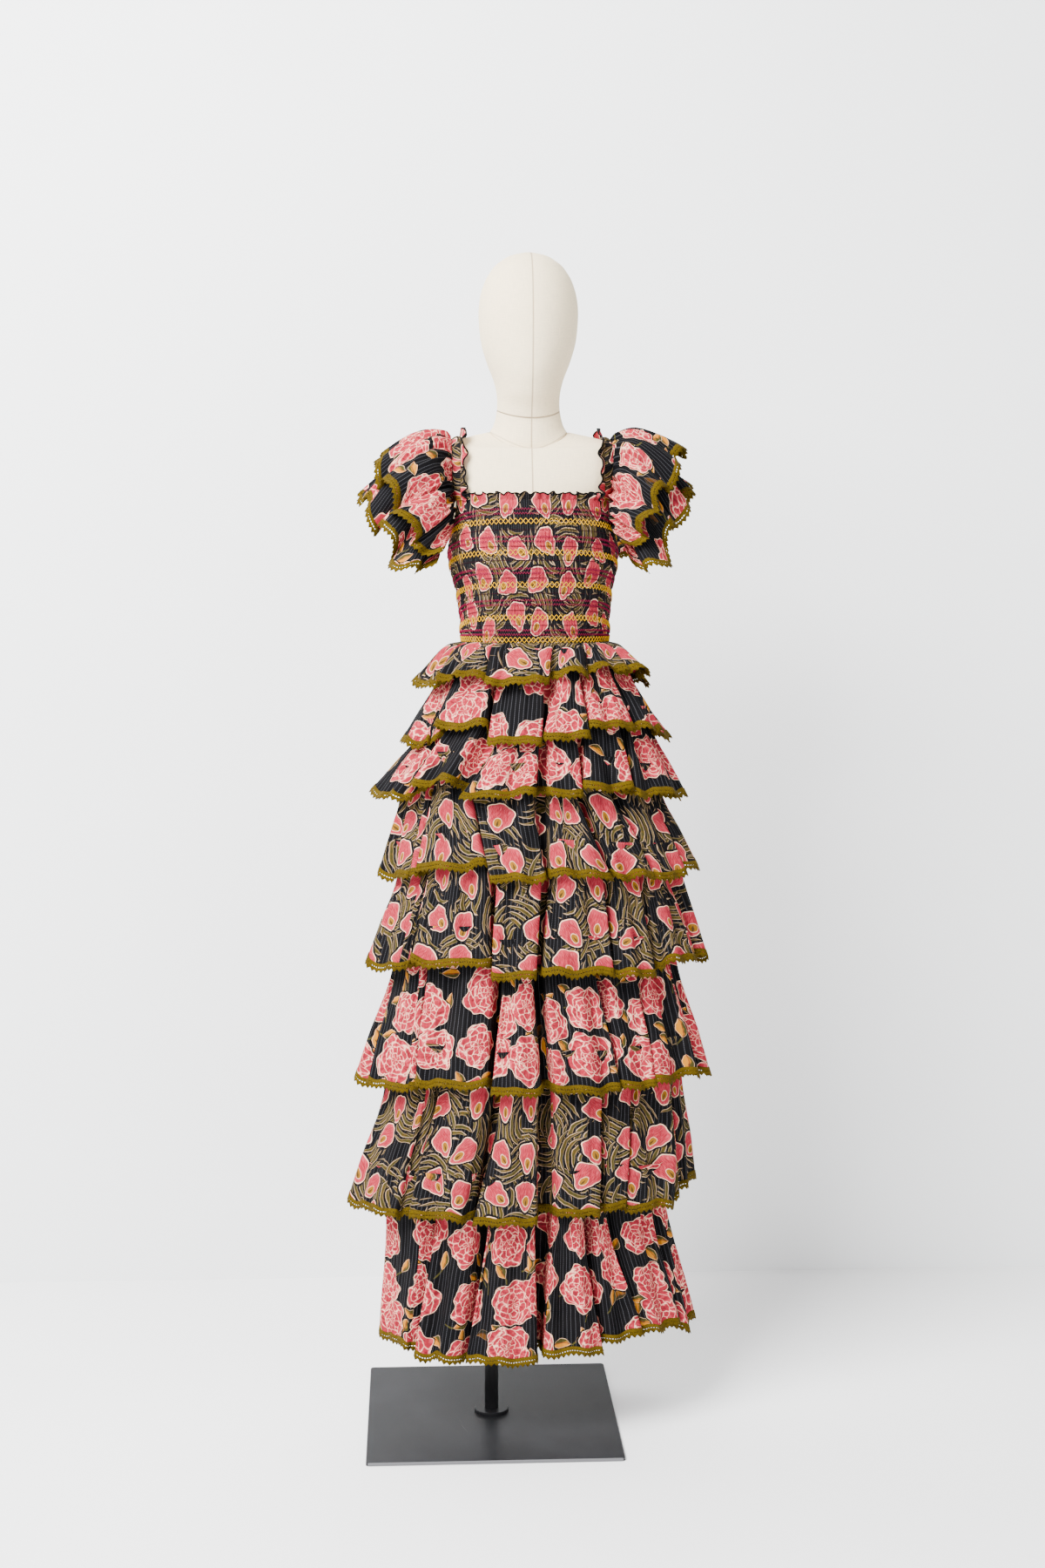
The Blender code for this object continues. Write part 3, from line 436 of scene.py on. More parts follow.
def shoulder_line(side, x, clear, count):
    """Line over the shoulder at one width, with its normals, from the neckline in front to behind."""
    base = NECKLINE_Z - 0.02
    line = []
    for place in range(count):
        part = 2 * place / (count - 1) - 1
        forward = part < 0
        least = math.atan2(NECKLINE_Z - base, torso_edge(side * x, NECKLINE_Z, forward))
        turn = least + (math.pi / 2 - least) * (1 - abs(part))
        low, high = NECKLINE_Z, TORSO[-1][0]
        for _ in range(40):
            z = (low + high) / 2
            edge = torso_edge(side * x, z, forward)
            if edge > 0 and math.atan2(z - base, edge) < turn:
                low = z
            else:
                high = z
        line.append((side * x, -edge if forward else edge, z))
    line = np.array(line)
    along = np.gradient(line, axis=0)
    normal = np.stack([np.zeros(count), -along[:, 2], along[:, 1]], axis=1)
    normal *= np.sign(normal[count // 2, 2])
    normal /= np.linalg.norm(normal, axis=1)[:, None]
    line += normal * clear
    for point in line:
        angle = math.asin(min(max((x - 0.001) / 0.1300, -1.0), 1.0))
        edge = oval_point(BODICE, NECKLINE_Z, angle if point[1] < 0 else math.pi - angle)[1]
        seat = max(0.0, 1.0 - (point[2] - NECKLINE_Z) / STRAP_SEAT) ** 2
        point[1] += (edge - point[1]) * seat
        point[2] += 4 * SEAM_GAP * seat
    return line, normal


def smooth_rows(table, count):
    """Rows between the rows of a table, on a curve through them."""
    table = np.array(table, dtype=float)
    last = len(table) - 1
    place = np.linspace(0, last, count)
    k = np.minimum(place.astype(int), last - 1)
    t = (place - k)[:, None]
    a, b, c, d = (table[np.clip(k + step, 0, last)] for step in (-1, 0, 1, 2))
    return 0.5 * (2 * b + (c - a) * t + (2 * a - 5 * b + 4 * c - d) * t**2 + (3 * b - a - 3 * c + d) * t**3)


def armhole_line(side, count):
    """Head of a flounce: up the bodice's scooped edge, over the strap and down again behind."""
    beside = STRAP_X + STRAP_HALF + 8 * SEAM_GAP
    line = shoulder_line(side, beside, STRAP_CLEAR + CLOTH - SLEEVE_HEAD_LIFT["lower"], 15)[0]
    ends = []
    for turn in (0.0, math.pi):
        for degrees in ARMHOLE_DEG:
            angle = side * math.radians(degrees) if turn == 0.0 else turn - side * math.radians(degrees)
            x = oval_point(BODICE, NECKLINE_Z, angle)[0]
            x, y, z = oval_point(BODICE, float(bodice_top(x)), angle)
            away = Vector((x, y, 0.0)).normalized()
            ends.append((x + away.x * SEAM_OUT, y + away.y * SEAM_OUT, z))
    half = len(ARMHOLE_DEG)
    path = np.array(ends[:half] + list(line) + ends[: half - 1 : -1])
    length = np.concatenate([[0], np.cumsum(np.linalg.norm(np.diff(path, axis=0), axis=1))])
    places = np.linspace(0, length[-1], count)
    return np.stack([np.interp(places, length, path[:, axis]) for axis in range(3)], axis=1)


# ---- Curves and lattices of points

def between(a, b, low, high, t):
    """Value at t on the straight line from a at low to b at high."""
    return ((high - t) * a + (t - low) * b) / (high - low)


def spline(points, pieces, closed):
    """Centripetal curve through points, cut into the given number of pieces a span."""
    count = len(points)
    spans = count if closed else count - 1
    made = []
    for k in range(spans):
        if closed:
            p = [points[(k + step) % count] for step in (-1, 0, 1, 2)]
        else:
            p = [points[min(max(k + step, 0), count - 1)] for step in (-1, 0, 1, 2)]
            if k == 0:
                p[0] = 2 * p[1] - p[2]
            if k == spans - 1:
                p[3] = 2 * p[2] - p[1]
        knots = [0.0]
        for a, b in zip(p, p[1:]):
            gap = np.linalg.norm((b - a).reshape(-1, 3), axis=1).mean()
            knots.append(knots[-1] + max(math.sqrt(gap), 1e-4))
        last = not closed and k == spans - 1
        for t in np.linspace(knots[1], knots[2], pieces[k] + 1)[: None if last else -1]:
            a, b, c = (between(p[i], p[i + 1], knots[i], knots[i + 1], t) for i in range(3))
            a, b = between(a, b, knots[0], knots[2], t), between(b, c, knots[1], knots[3], t)
            made.append(between(a, b, knots[1], knots[2], t))
    return np.array(made)


def length_along(line, closed=False):
    """Length from the first point to each point of a line."""
    ends = np.concatenate([line, line[:1]]) if closed else line
    return np.concatenate([[0], np.cumsum(np.linalg.norm(np.diff(ends, axis=0), axis=1))])


def fall_along(points):
    """Mean length down a lattice from its first row to each row."""
    steps = np.linalg.norm(np.diff(points, axis=0), axis=2).mean(axis=1)
    return np.concatenate([[0], np.cumsum(steps)])


def cloth_map(across, up):
    """Places on flat cloth, in metres, for a lattice of points."""
    return np.stack(np.broadcast_arrays(across, up), axis=-1)


def waves(count, part, shift=0.0):
    """A number of even waves along a line."""
    return np.sin(2 * math.pi * count * part + shift)


def unit(vectors):
    """Vectors of length one."""
    return vectors / np.maximum(np.linalg.norm(vectors, axis=-1), 1e-12)[..., None]


def lattice_normals(points, closed):
    """Unit normals of a lattice, rows by columns; the way out is to the right of its first row."""
    if closed:
        wide = np.concatenate([points[:, -1:], points, points[:, :1]], axis=1)
        across = (wide[:, 2:] - wide[:, :-2]) / 2
    else:
        across = np.gradient(points, axis=1)
    down = np.gradient(points, axis=0)
    normal = np.cross(down, across)
    return unit(normal)


def add_piece(name, work, finish):
    """Object at the origin from a bmesh, with its finish; it rides with the frame."""
    mesh = bpy.data.meshes.new(name)
    work.to_mesh(mesh)
    work.free()
    mesh.polygons.foreach_set("use_smooth", [True] * len(mesh.polygons))
    made = bpy.data.objects.new(name, mesh)
    made.data.materials.append(finish)
    bpy.context.scene.collection.objects.link(made)
    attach(made, "root")
    return made


def cloth_piece(name, points, uv, closed, finish):
    """A cloth sheet from a grid, its corners moved to a lattice of points; uv is in cloth metres."""
    rows, columns = points.shape[:2]
    wide = columns if closed else columns - 1
    if closed:
        points = np.concatenate([points, points[:, :1]], axis=1)
    work = bmesh.new()
    bmesh.ops.create_grid(work, x_segments=wide, y_segments=rows - 1, size=0.5)
    layer = work.loops.layers.uv.new("Cloth")
    place = {}
    for vertex in work.verts:
        column = round((vertex.co.x + 0.5) * wide)
        row = round((0.5 - vertex.co.y) * (rows - 1))
        place[vertex] = (row, column)
    for face in work.faces:
        for loop in face.loops:
            loop[layer].uv = uv[place[loop.vert]]
    for vertex, (row, column) in place.items():
        vertex.co = points[row, column]
    if closed:
        seam = [vertex for vertex, (row, column) in place.items() if column in (0, wide)]
        bmesh.ops.remove_doubles(work, verts=seam, dist=1e-6)
    return add_piece(name, work, finish)


def thread_piece(name, lines, radius, finish):
    """Threads of one colour as thin tubes through lines of points."""
    curve = bpy.data.curves.new(name, "CURVE")
    curve.dimensions = "3D"
    curve.bevel_depth = radius
    curve.bevel_resolution = 0
    curve.use_fill_caps = True
    for line in lines:
        strand = curve.splines.new("POLY")
        strand.points.add(len(line) - 1)
        strand.points.foreach_set("co", np.concatenate([line, np.ones((len(line), 1))], axis=1).ravel())
    shape = bpy.data.objects.new(name + "_path", curve)
    bpy.context.scene.collection.objects.link(shape)
    bpy.context.view_layer.update()
    mesh = bpy.data.meshes.new_from_object(shape)
    bpy.data.objects.remove(shape)
    work = bmesh.new()
    work.from_mesh(mesh)
    bpy.data.meshes.remove(mesh)
    return add_piece(name, work, finish)


# ---- Node groups: arithmetic on wires adds Math nodes

class Wire:
    """One value in a node tree."""

    def __init__(self, tree, socket):
        self.tree = tree
        self.socket = socket

    def math(self, operation, *others):
        node = self.tree.nodes.new("ShaderNodeMath")
        node.operation = operation
        for index, value in enumerate((self, *others)):
            plug(value, node.inputs[index])
        return Wire(self.tree, node.outputs[0])

    def __add__(self, other):
        return self.math("ADD", other)

    def __sub__(self, other):
        return self.math("SUBTRACT", other)

    def __rsub__(self, other):
        return self.math("MULTIPLY_ADD", -1.0, other)

    def __mul__(self, other):
        return self.math("MULTIPLY", other)

    def __truediv__(self, other):
        return self.math("DIVIDE", other)

    def sin(self):
        return self.math("SINE")

    def cos(self):
        return self.math("COSINE")

    def size(self):
        return self.math("ABSOLUTE")

    def square(self):
        return self.math("MULTIPLY", self)

    def root(self):
        return self.math("SQRT")

    def most(self, other):
        return self.math("MAXIMUM", other)

    def ramp(self, low, high):
        """Smooth step from nought at low to one at high; low may be the greater."""
        node = self.tree.nodes.new("ShaderNodeMapRange")
        node.interpolation_type = "SMOOTHSTEP"
        plug(self, node.inputs["Value"])
        node.inputs["From Min"].default_value = low
        node.inputs["From Max"].default_value = high
        return Wire(self.tree, node.outputs["Result"])


def plug(value, socket):
    """Links a wire to a socket, or sets the socket to a plain value."""
    if isinstance(value, Wire):
        value.tree.links.new(value.socket, socket)
    else:
        socket.default_value = value


def paint(mask, under, over):
    """Colour under, with over laid on it where the mask is one."""
    tree = next(value.tree for value in (mask, under, over) if isinstance(value, Wire))
    node = tree.nodes.new("ShaderNodeMix")
    node.data_type = "RGBA"
    for value, label in ((mask, "Factor"), (under, "A"), (over, "B")):
        plug(value, node.inputs[label])
    return Wire(tree, node.outputs["Result"])


def split(vector):
    """The x, y and z of a vector."""
    node = vector.tree.nodes.new("ShaderNodeSeparateXYZ")
    plug(vector, node.inputs[0])
    return [Wire(vector.tree, node.outputs[index]) for index in range(3)]


def join(x, y, z=0.0):
    """A vector from its x, y and z; x is a wire."""
    node = x.tree.nodes.new("ShaderNodeCombineXYZ")
    for index, value in enumerate((x, y, z)):
        plug(value, node.inputs[index])
    return Wire(x.tree, node.outputs[0])


def moved(vector, operation, other):
    """A vector after one step of vector arithmetic."""
    node = vector.tree.nodes.new("ShaderNodeVectorMath")
    node.operation = operation
    plug(vector, node.inputs[0])
    plug(other, node.inputs[1])
    return Wire(vector.tree, node.outputs[0])


def swayed(vector, guide, scale, detail, reach):
    """A vector pushed about by a soft noise, so that what is drawn with it looks drawn by hand."""
    push = moved(noise(guide, scale, detail, "Color"), "SUBTRACT", (0.5, 0.5, 0.5))
    return moved(vector, "ADD", moved(push, "MULTIPLY", reach))


def noise(vector, scale, detail=2.0, output="Fac"):
    """Soft noise over a vector."""
    node = vector.tree.nodes.new("ShaderNodeTexNoise")
    plug(vector, node.inputs["Vector"])
    node.inputs["Scale"].default_value = scale
    node.inputs["Detail"].default_value = detail
    return Wire(vector.tree, node.outputs[output])


def streaks(x, y, z=0.0):
    """Noise at unit scale on coordinates that are already drawn out along the streaks."""
    return noise(join(x, y, z), 1.0, 2.0)


def luck_of(number):
    """A random number for each whole number."""
    node = number.tree.nodes.new("ShaderNodeTexWhiteNoise")
    node.noise_dimensions = "1D"
    plug(number, node.inputs["W"])
    return Wire(number.tree, node.outputs["Value"])


def cells(vector, scale, random, feature="F1", dimensions="2D"):
    """Cells over a vector, as a node."""
    node = vector.tree.nodes.new("ShaderNodeTexVoronoi")
    node.voronoi_dimensions = dimensions
    node.feature = feature
    plug(vector, node.inputs["Vector"])
    node.inputs["Scale"].default_value = scale
    node.inputs["Randomness"].default_value = random
    return node


def object_place(tree):
    """Object coordinates; each finished piece has its object at the origin."""
    return Wire(tree, tree.nodes.new("ShaderNodeTexCoord").outputs["Object"])


def group(name, inputs, outputs):
    """New node group: a wire for each input, and a function that links its outputs and gives its tree."""
    tree = bpy.data.node_groups.new(name, "ShaderNodeTree")
    for label, kind, value in inputs:
        made = tree.interface.new_socket(label, in_out="INPUT", socket_type="NodeSocket" + kind)
        if value is not None:
            made.default_value = value
    for label, kind in outputs:
        tree.interface.new_socket(label, in_out="OUTPUT", socket_type="NodeSocket" + kind)
    given = tree.nodes.new("NodeGroupInput")
    result = tree.nodes.new("NodeGroupOutput")

    def finished(**values):
        for label, value in values.items():
            plug(value, result.inputs[label])
        return tree

    return {label: Wire(tree, given.outputs[label]) for label, _, _ in inputs}, finished


def print_group(name):
    """New node group of a print: the cloth and its colours in, the image and where it is printed out."""
    inputs = [("Cloth", "Vector", None)] + [(label, "Color", None) for label in PRINT_COLOURS]
    return group(name, inputs, [("Color", "Color"), ("Printed", "Float")])


def colour(value):
    return (*value, 1.0)


def scattered(cloth, spacing, random, shift=(0.0, 0.0, 0.0)):
    """A motif in each cell of a loose spread: its own x and y in millimetres, three random
    numbers, and the place that they were taken from."""
    place = moved(cloth, "ADD", shift)
    node = cells(place, 1 / (spacing * MM), random)
    x, y, _ = split(moved(place, "SUBTRACT", Wire(cloth.tree, node.outputs["Position"])))
    chance = split(Wire(cloth.tree, node.outputs["Color"]))
    return x * 1000.0, y * 1000.0, chance, place


def turned(x, y, angle):
    """Coordinates of a motif turned by an angle."""
    sine, cosine = angle.sin(), angle.cos()
    return x * cosine + y * sine, y * cosine - x * sine


def leaf_spray(cloth, spacing, shift):
    """Bundles of long curved leaves, each leaf in a lane of its own round a far centre.

    Gives masks of the leaf, its dark surround, its cream edge and its vein.
    """
    x, y, chance, place = scattered(cloth, spacing, 0.6, shift)
    room = cells(place, 1 / (spacing * MM), 0.6, "DISTANCE_TO_EDGE").outputs["Distance"]
    room = Wire(cloth.tree, room)
    x, y = turned(x, y, chance[0] * (2 * math.pi))
    reach = (x + 46.0).square() + y.square()
    lane = reach.root() / LEAF_LANE + chance[1] * 5.0
    index = lane.math("FLOOR")
    offset = ((lane - index) - 0.5) * LEAF_LANE
    luck = luck_of(index + chance[2] * 91.0)
    along = (y + luck * 24.0 - 12.0) / (luck * 12.0 + 33.0)
    taper = (1.0 - along.square()).most(0.0)
    kept = (luck * 5.0).math("FRACT").ramp(0.86, 0.84) * x.size().ramp(25.0, 17.0)
    half = taper * (room * spacing / 6.0).math("MINIMUM", 1.0) * kept * 3.3
    inside = half - offset.size()
    leaf = inside.ramp(0.0, 0.3)
    surround = inside.ramp(-1.5, -1.2) * half.ramp(0.3, 0.9)
    edge = leaf * inside.ramp(1.2, 0.85) * (offset.ramp(-1.0, 1.0) * 0.75 + 0.25)
    vein = leaf * (offset + 0.4).size().ramp(0.45, 0.15)
    return leaf, surround, edge, vein


def cup_flower_print():
    """Cup-shaped flowers among curving leaves: a generic pattern, laid out by chance."""
    given, finished = print_group("Cup flower print")
    cloth = swayed(given["Cloth"], given["Cloth"], 75.0, 1.0, (4.2 * MM, 4.2 * MM, 0.0))
    tone = noise(given["Cloth"], 140.0, 2.0)
    image = given["Ground"]
    printed = None
    for spacing, shift in ((72.0, (0.31, 0.12, 0.0)), (63.0, (0.77, 0.45, 0.0))):
        leaf, surround, edge, vein = leaf_spray(cloth, spacing, shift)
        image = paint(surround, image, given["Ground"])
        green = paint(tone.ramp(0.40, 0.72) * 0.10, given["Leaf"], given["Ochre"])
        image = paint(leaf, image, green)
        image = paint(edge * 0.70, image, paint(0.45, given["Cream"], given["Leaf"]))
        image = paint(vein * 0.6, image, given["Ground"])
        printed = leaf if printed is None else printed.most(leaf)
    x, y, chance, _ = scattered(cloth, 61.0, 0.46)
    x, y = turned(x, y, (chance[0] - 0.5) * 2.2)
    wide = chance[1] * 6.0 + 14.5
    theta = x.math("ARCTAN2", y)
    frill = (theta * 6.0 + chance[2] * 6.0).sin() * 0.045 + (theta * 3.0).cos() * 0.045 + 1.0
    oval_x = x / (wide * (y * 0.013 + 1.0))
    out = (oval_x.square() + (y / 23.0).square()).root() * frill
    cup = out.ramp(1.0, 0.985)
    gap = out.ramp(1.17, 1.13)
    rim = cup * out.ramp(0.925, 0.95)
    image = paint(gap, image, given["Ground"])
    streak = streaks(x * 0.9, y * 0.12)
    pink = paint(streak.ramp(0.50, 0.64) * 0.60, given["Rose"], given["Blush"])
    pink = paint(streak.ramp(0.47, 0.34) * 0.75, pink, paint(0.60, given["Rose"], given["Ground"]))
    pink = paint(out.ramp(0.60, 0.95) * 0.30, pink, given["Blush"])
    image = paint(cup, image, pink)
    image = paint(rim, image, given["Cream"])
    heart = ((x / 5.4).square() + ((y + 8.5) / 7.6).square()).root()
    image = paint(heart.ramp(1.16, 1.10) * 0.6, image, given["Cream"])
    image = paint(heart.ramp(1.0, 0.93), image, paint(0.55, given["Ochre"], given["Leaf"]))
    stroke = (x.size() + (y + 11.0).size() * 0.25).ramp(2.2, 1.2)
    image = paint(heart.ramp(1.0, 0.9) * stroke * 0.85, image, paint(0.5, given["Leaf"], given["Ground"]))
    printed = printed.most(cup)
    return finished(Color=image, Printed=printed)


def rosette_print():
    """Full many-petalled rosettes with single leaves: a generic pattern, laid out by chance."""
    given, finished = print_group("Rosette print")
    cloth = swayed(given["Cloth"], given["Cloth"], 60.0, 2.0, (6.5 * MM, 6.5 * MM, 0.0))
    tone = noise(given["Cloth"], 120.0, 2.0)
    image = given["Ground"]
    printed = None
    for spacing, shift in ((57.0, (0.53, 0.21, 0.0)), (66.0, (0.17, 0.83, 0.0))):
        x, y, chance, _ = scattered(cloth, spacing, 0.7, shift)
        x, y = turned(x, y, (chance[0] - 0.5) * 3.4)
        x = x + (y.square() * 0.010)
        stem = (x.size().ramp(1.5, 1.0)) * (y + 22.0).size().ramp(11.0, 9.0) * chance[2].ramp(0.3, 0.35)
        image = paint(stem, image, given["Leaf"])
        half = (1.0 - ((y + 1.0) / 15.5).square()).most(0.0) * 7.4
        inside = half - x.size()
        leaf = inside.ramp(0.0, 0.4) * chance[2].ramp(0.3, 0.35)
        fill = paint((x * 0.25 + tone * 2.0).ramp(0.6, 1.6), given["Ochre"], given["Leaf"])
        image = paint(leaf, image, fill)
        image = paint(leaf * inside.ramp(1.1, 0.7) * 0.5, image, given["Cream"])
        rib = leaf * x.size().ramp(0.9, 0.4) * 0.7
        image = paint(rib, image, paint(0.6, given["Rose"], given["Ground"]))
        printed = leaf if printed is None else printed.most(leaf)
    x, y, chance, _ = scattered(cloth, 82.0, 0.50)
    theta = x.math("ARCTAN2", y)
    radius = (x.square() + y.square()).root()
    lobes = (theta * 4.0 + chance[0] * 6.3).sin() * 3.4 + (theta * 9.0 + chance[1] * 6.3).sin() * 1.8
    reach = lobes + 31.5 + chance[2] * 7.0
    wreath = join(theta.sin() * 1.35 + chance[0] * 9.0, theta.cos() * 1.35, radius / 9.5)
    wreath = swayed(wreath, wreath, 1.6, 2.0, (0.55, 0.55, 0.55))
    border = Wire(wreath.tree, cells(wreath, 1.0, 0.9, "DISTANCE_TO_EDGE", "3D").outputs["Distance"])
    flower = (reach - radius).ramp(0.0, 0.5)
    rim = flower * (reach - radius).ramp(1.1, 0.8)
    streak = streaks(theta * 7.0, radius * 0.10, chance[0] * 5.0)
    petal = paint(border.ramp(0.025, 0.13), given["Blush"], given["Rose"])
    petal = paint(streak.ramp(0.48, 0.36) * 0.70, petal, paint(0.60, given["Rose"], given["Ground"]))
    petal = paint(streak.ramp(0.57, 0.63) * 0.40, petal, given["Blush"])
    petal = paint(border.ramp(0.036, 0.020) * 0.75, petal, given["Cream"])
    image = paint((reach - radius).ramp(-2.4, -1.9), image, given["Ground"])
    image = paint(flower, image, petal)
    image = paint(rim, image, given["Cream"])
    printed = printed.most(flower)
    return finished(Color=image, Printed=printed)


def running_stitch():
    """Rows of small hand stitches down the cloth: where they lie, and how they draw it in."""
    inputs = [("Cloth", "Vector", None), ("Row gap", "Float", 6.6), ("Stitch", "Float", 2.5)]
    given, finished = group("Running stitch", inputs, [("Stitched", "Float"), ("Height", "Float")])
    wobble = noise(given["Cloth"], 40.0, 1.0)
    u, v, _ = split(given["Cloth"])
    row = (u * 1000.0 + wobble * 1.6) / given["Row gap"]
    index = row.math("FLOOR")
    across = ((row - index) - 0.5).size() * given["Row gap"]
    dash = (v * 1000.0 / given["Stitch"] + luck_of(index)).math("FRACT")
    stitched = across.ramp(0.55, 0.30) * (dash - 0.5).size().ramp(0.40, 0.34)
    height = (across / given["Row gap"]).ramp(0.0, 0.5) + stitched * 0.35
    return finished(Stitched=stitched, Height=height)


def plain_weave():
    """Crossing threads with slubs: a height, and a faint change of tone."""
    inputs = [("Cloth", "Vector", None), ("Thread", "Float", 0.6)]
    given, finished = group("Plain weave", inputs, [("Height", "Float"), ("Tone", "Float")])
    u, v, _ = split(given["Cloth"])
    pitch = given["Thread"] * 0.001
    warp, weft = (u / pitch * 3.1416).sin(), (v / pitch * 3.1416).sin()
    across = streaks(u * 60.0, v * 1600.0)
    down = streaks(u * 1600.0, v * 60.0)
    height = warp.size() * 0.5 + weft.size() * 0.5 + across + down
    return finished(Height=height, Tone=(across + down) * 0.5)


def once(name, build):
    """The node group of this name, built if it is not there yet."""
    return bpy.data.node_groups.get(name) or build()


def placed(tree, name, build, **values):
    """The named group as a node in this tree, with values or links put on its inputs."""
    node = tree.nodes.new("ShaderNodeGroup")
    node.node_tree = once(name, build)
    for label, value in values.items():
        plug(value, node.inputs[label.replace("_", " ")])
    return node


def new_finish(name, roughness, **plain):
    """New material: itself, its node tree and its Principled shader."""
    made = bpy.data.materials.new(name)
    made.use_nodes = True
    shader = made.node_tree.nodes["Principled BSDF"]
    shader.inputs["Roughness"].default_value = roughness
    for label, value in plain.items():
        shader.inputs[label.replace("_", " ")].default_value = value
    return made, made.node_tree, shader


def relief(tree, shader, height, distance, strength=1.0, under=None):
    """Bump of a height on the shader, laid over another one where given."""
    node = tree.nodes.new("ShaderNodeBump")
    node.inputs["Distance"].default_value = distance
    node.inputs["Strength"].default_value = strength
    plug(height, node.inputs["Height"])
    if under is not None:
        tree.links.new(under.outputs["Normal"], node.inputs["Normal"])
    tree.links.new(node.outputs["Normal"], shader.inputs["Normal"])
    return node


def cloth_uv(tree):
    """The piece's own map, in metres of its cloth."""
    node = tree.nodes.new("ShaderNodeUVMap")
    node.uv_map = "Cloth"
    return Wire(tree, node.outputs["UV"])


def printed_cotton(name, print_name, build, smocked=False):
    """Quilted printed cotton; the smocked one has narrower, fainter stitch rows."""
    found = bpy.data.materials.get(name)
    if found:
        return found
    hues = bpy.context.scene.dress_colours
    made, tree, shader = new_finish(name, 0.82, Specular_IOR_Level=0.03)
    cloth = cloth_uv(tree)
    hue = {label: colour(getattr(hues, label.lower())) for label in PRINT_COLOURS}
    pattern = placed(tree, print_name, build, Cloth=cloth, **hue)
    image = Wire(tree, pattern.outputs["Color"])
    on_print = Wire(tree, pattern.outputs["Printed"])
    gap = bpy.context.scene.dress_sizes.stitch_rows * 1000
    gap *= 0.7 if smocked else 1.0
    stitch = placed(tree, "Running stitch", running_stitch, Cloth=cloth, Row_gap=gap)
    stitched = Wire(tree, stitch.outputs["Stitched"])
    weave = placed(tree, "Plain weave", plain_weave, Cloth=cloth, Thread=0.55)
    tone = Wire(tree, weave.outputs["Tone"])
    wash = noise(cloth, 22.0, 3.0)
    faded = wash.ramp(0.35, 0.75) * 0.004 + tone.ramp(0.4, 0.65) * 0.003
    image = paint(faded, image, colour(FADED_COTTON))
    strength = (1.0 - on_print * 0.72) * (0.35 if smocked else 0.55)
    image = paint(stitched * strength, image, colour(hues.stitch))
    plug(image, shader.inputs["Base Color"])
    plug(tone * 0.16 + 0.74, shader.inputs["Roughness"])
    u, v, _ = split(cloth)
    wrinkle = noise(join(u * 95.0, v * 22.0), 1.0, 3.0)
    coarse = relief(tree, shader, wrinkle + Wire(tree, stitch.outputs["Height"]) * 0.22, 1.6 * MM, 0.8)
    relief(tree, shader, Wire(tree, weave.outputs["Height"]), 0.12 * MM, 0.6, coarse)
    return made


def flower_cotton():
    return printed_cotton("flower_printed_cotton", "Cup flower print", cup_flower_print)


def rosette_cotton():
    return printed_cotton("rosette_printed_cotton", "Rosette print", rosette_print)


def smocked_cotton():
    return printed_cotton("smocked_flower_cotton", "Cup flower print", cup_flower_print, smocked=True)


def yarn(name, hue, pitch, shade=0.45):
    """Matt twisted yarn or thread with painted shade in its hollows, read from Object coordinates."""
    found = bpy.data.materials.get(name)
    if found:
        return found
    made, tree, shader = new_finish(name, 0.85, Specular_IOR_Level=0.06)
    place = object_place(tree)
    knots = noise(place, 1 / pitch, 3.0)
    wash = noise(place, 30.0, 2.0)
    # painted shade: the hollows between the knots of the twist take the hue darkened by the shade factor
    dark = tuple(part * shade for part in hue)
    image = paint(knots.ramp(0.36, 0.60), colour(dark), colour(hue))
    image = paint(wash.ramp(0.4, 0.7) * 0.25, image, colour(tuple(min(part * 1.35, 1.0) for part in hue)))
    plug(image, shader.inputs["Base Color"])
    plug(knots * 0.2 + 0.72, shader.inputs["Roughness"])
    relief(tree, shader, knots, 0.8 * MM, 0.9)
    return made


def black_edge():
    return yarn("black_binding_thread", BINDING_HUE, 1.2 * MM)


# ---- Pieces

def lobe_weight(tier, points):
    """One on the lobes, little in the valleys, so that creases never cross a deep fold."""
    angle = np.arctan2(points[..., 0], -points[..., 1])
    radius = np.hypot(points[..., 0], points[..., 1])
    widest = skirt_radius(tier, angle[-1])
    share = radius / np.maximum(radius.max(axis=1, keepdims=True), 1e-6)
    near_hem = np.clip((radius[-1] - widest + 16 * MM) / (12 * MM), 0.12, 1.0)
    return near_hem[None] * np.clip(share * 1.6 - 0.4, 0.3, 1.0)


def crease_height(tier, angle, down):
    """Soft troughs and ridges of the table, in metres, for angles and shares of the visible height."""
    total = np.zeros(angle.shape)
    degrees = np.degrees(angle)
    for turn, force in ((0.0, 1.0), (180.0, 0.8)):
        for top, hem, start, end, width, height in CREASES[tier]:
            if turn:
                top, hem = turn - 0.92 * top + 5, turn - 0.92 * hem + 5
            line = top + (hem - top) * down
            apart = (degrees - line + 180) % 360 - 180
            reach = np.degrees(width * MM / skirt_radius(tier, np.radians(hem)))
            fade = np.clip((down - start + 0.12) / 0.15, 0, 1) * np.clip((end - down + 0.25) / 0.35, 0, 1)
            total += 2.2 * force * height * MM * np.exp(-((apart / reach) ** 2)) * fade
    return total


def gather_waves(seed, along, down, height):
    """Small uneven gathers, fading towards the hem; along is in cloth metres."""
    rng = np.random.default_rng(seed)
    total = np.zeros(np.broadcast(along, down).shape)
    for pitch in (0.013, 0.017, 0.022, 0.029, 0.041):
        phase, drift, beat = rng.uniform(0, 2 * np.pi, 3)
        swell = 0.6 + 0.4 * np.sin(along / (pitch * 5.3) * 2 * np.pi + beat)
        reach = np.exp(-down * (0.016 / pitch))
        wave = np.sin(2 * np.pi * along / pitch + phase + (drift - 3) * 0.5 * down)
        total += swell * reach * wave * (pitch / 0.029) ** 0.5
    return total * height / 1.6


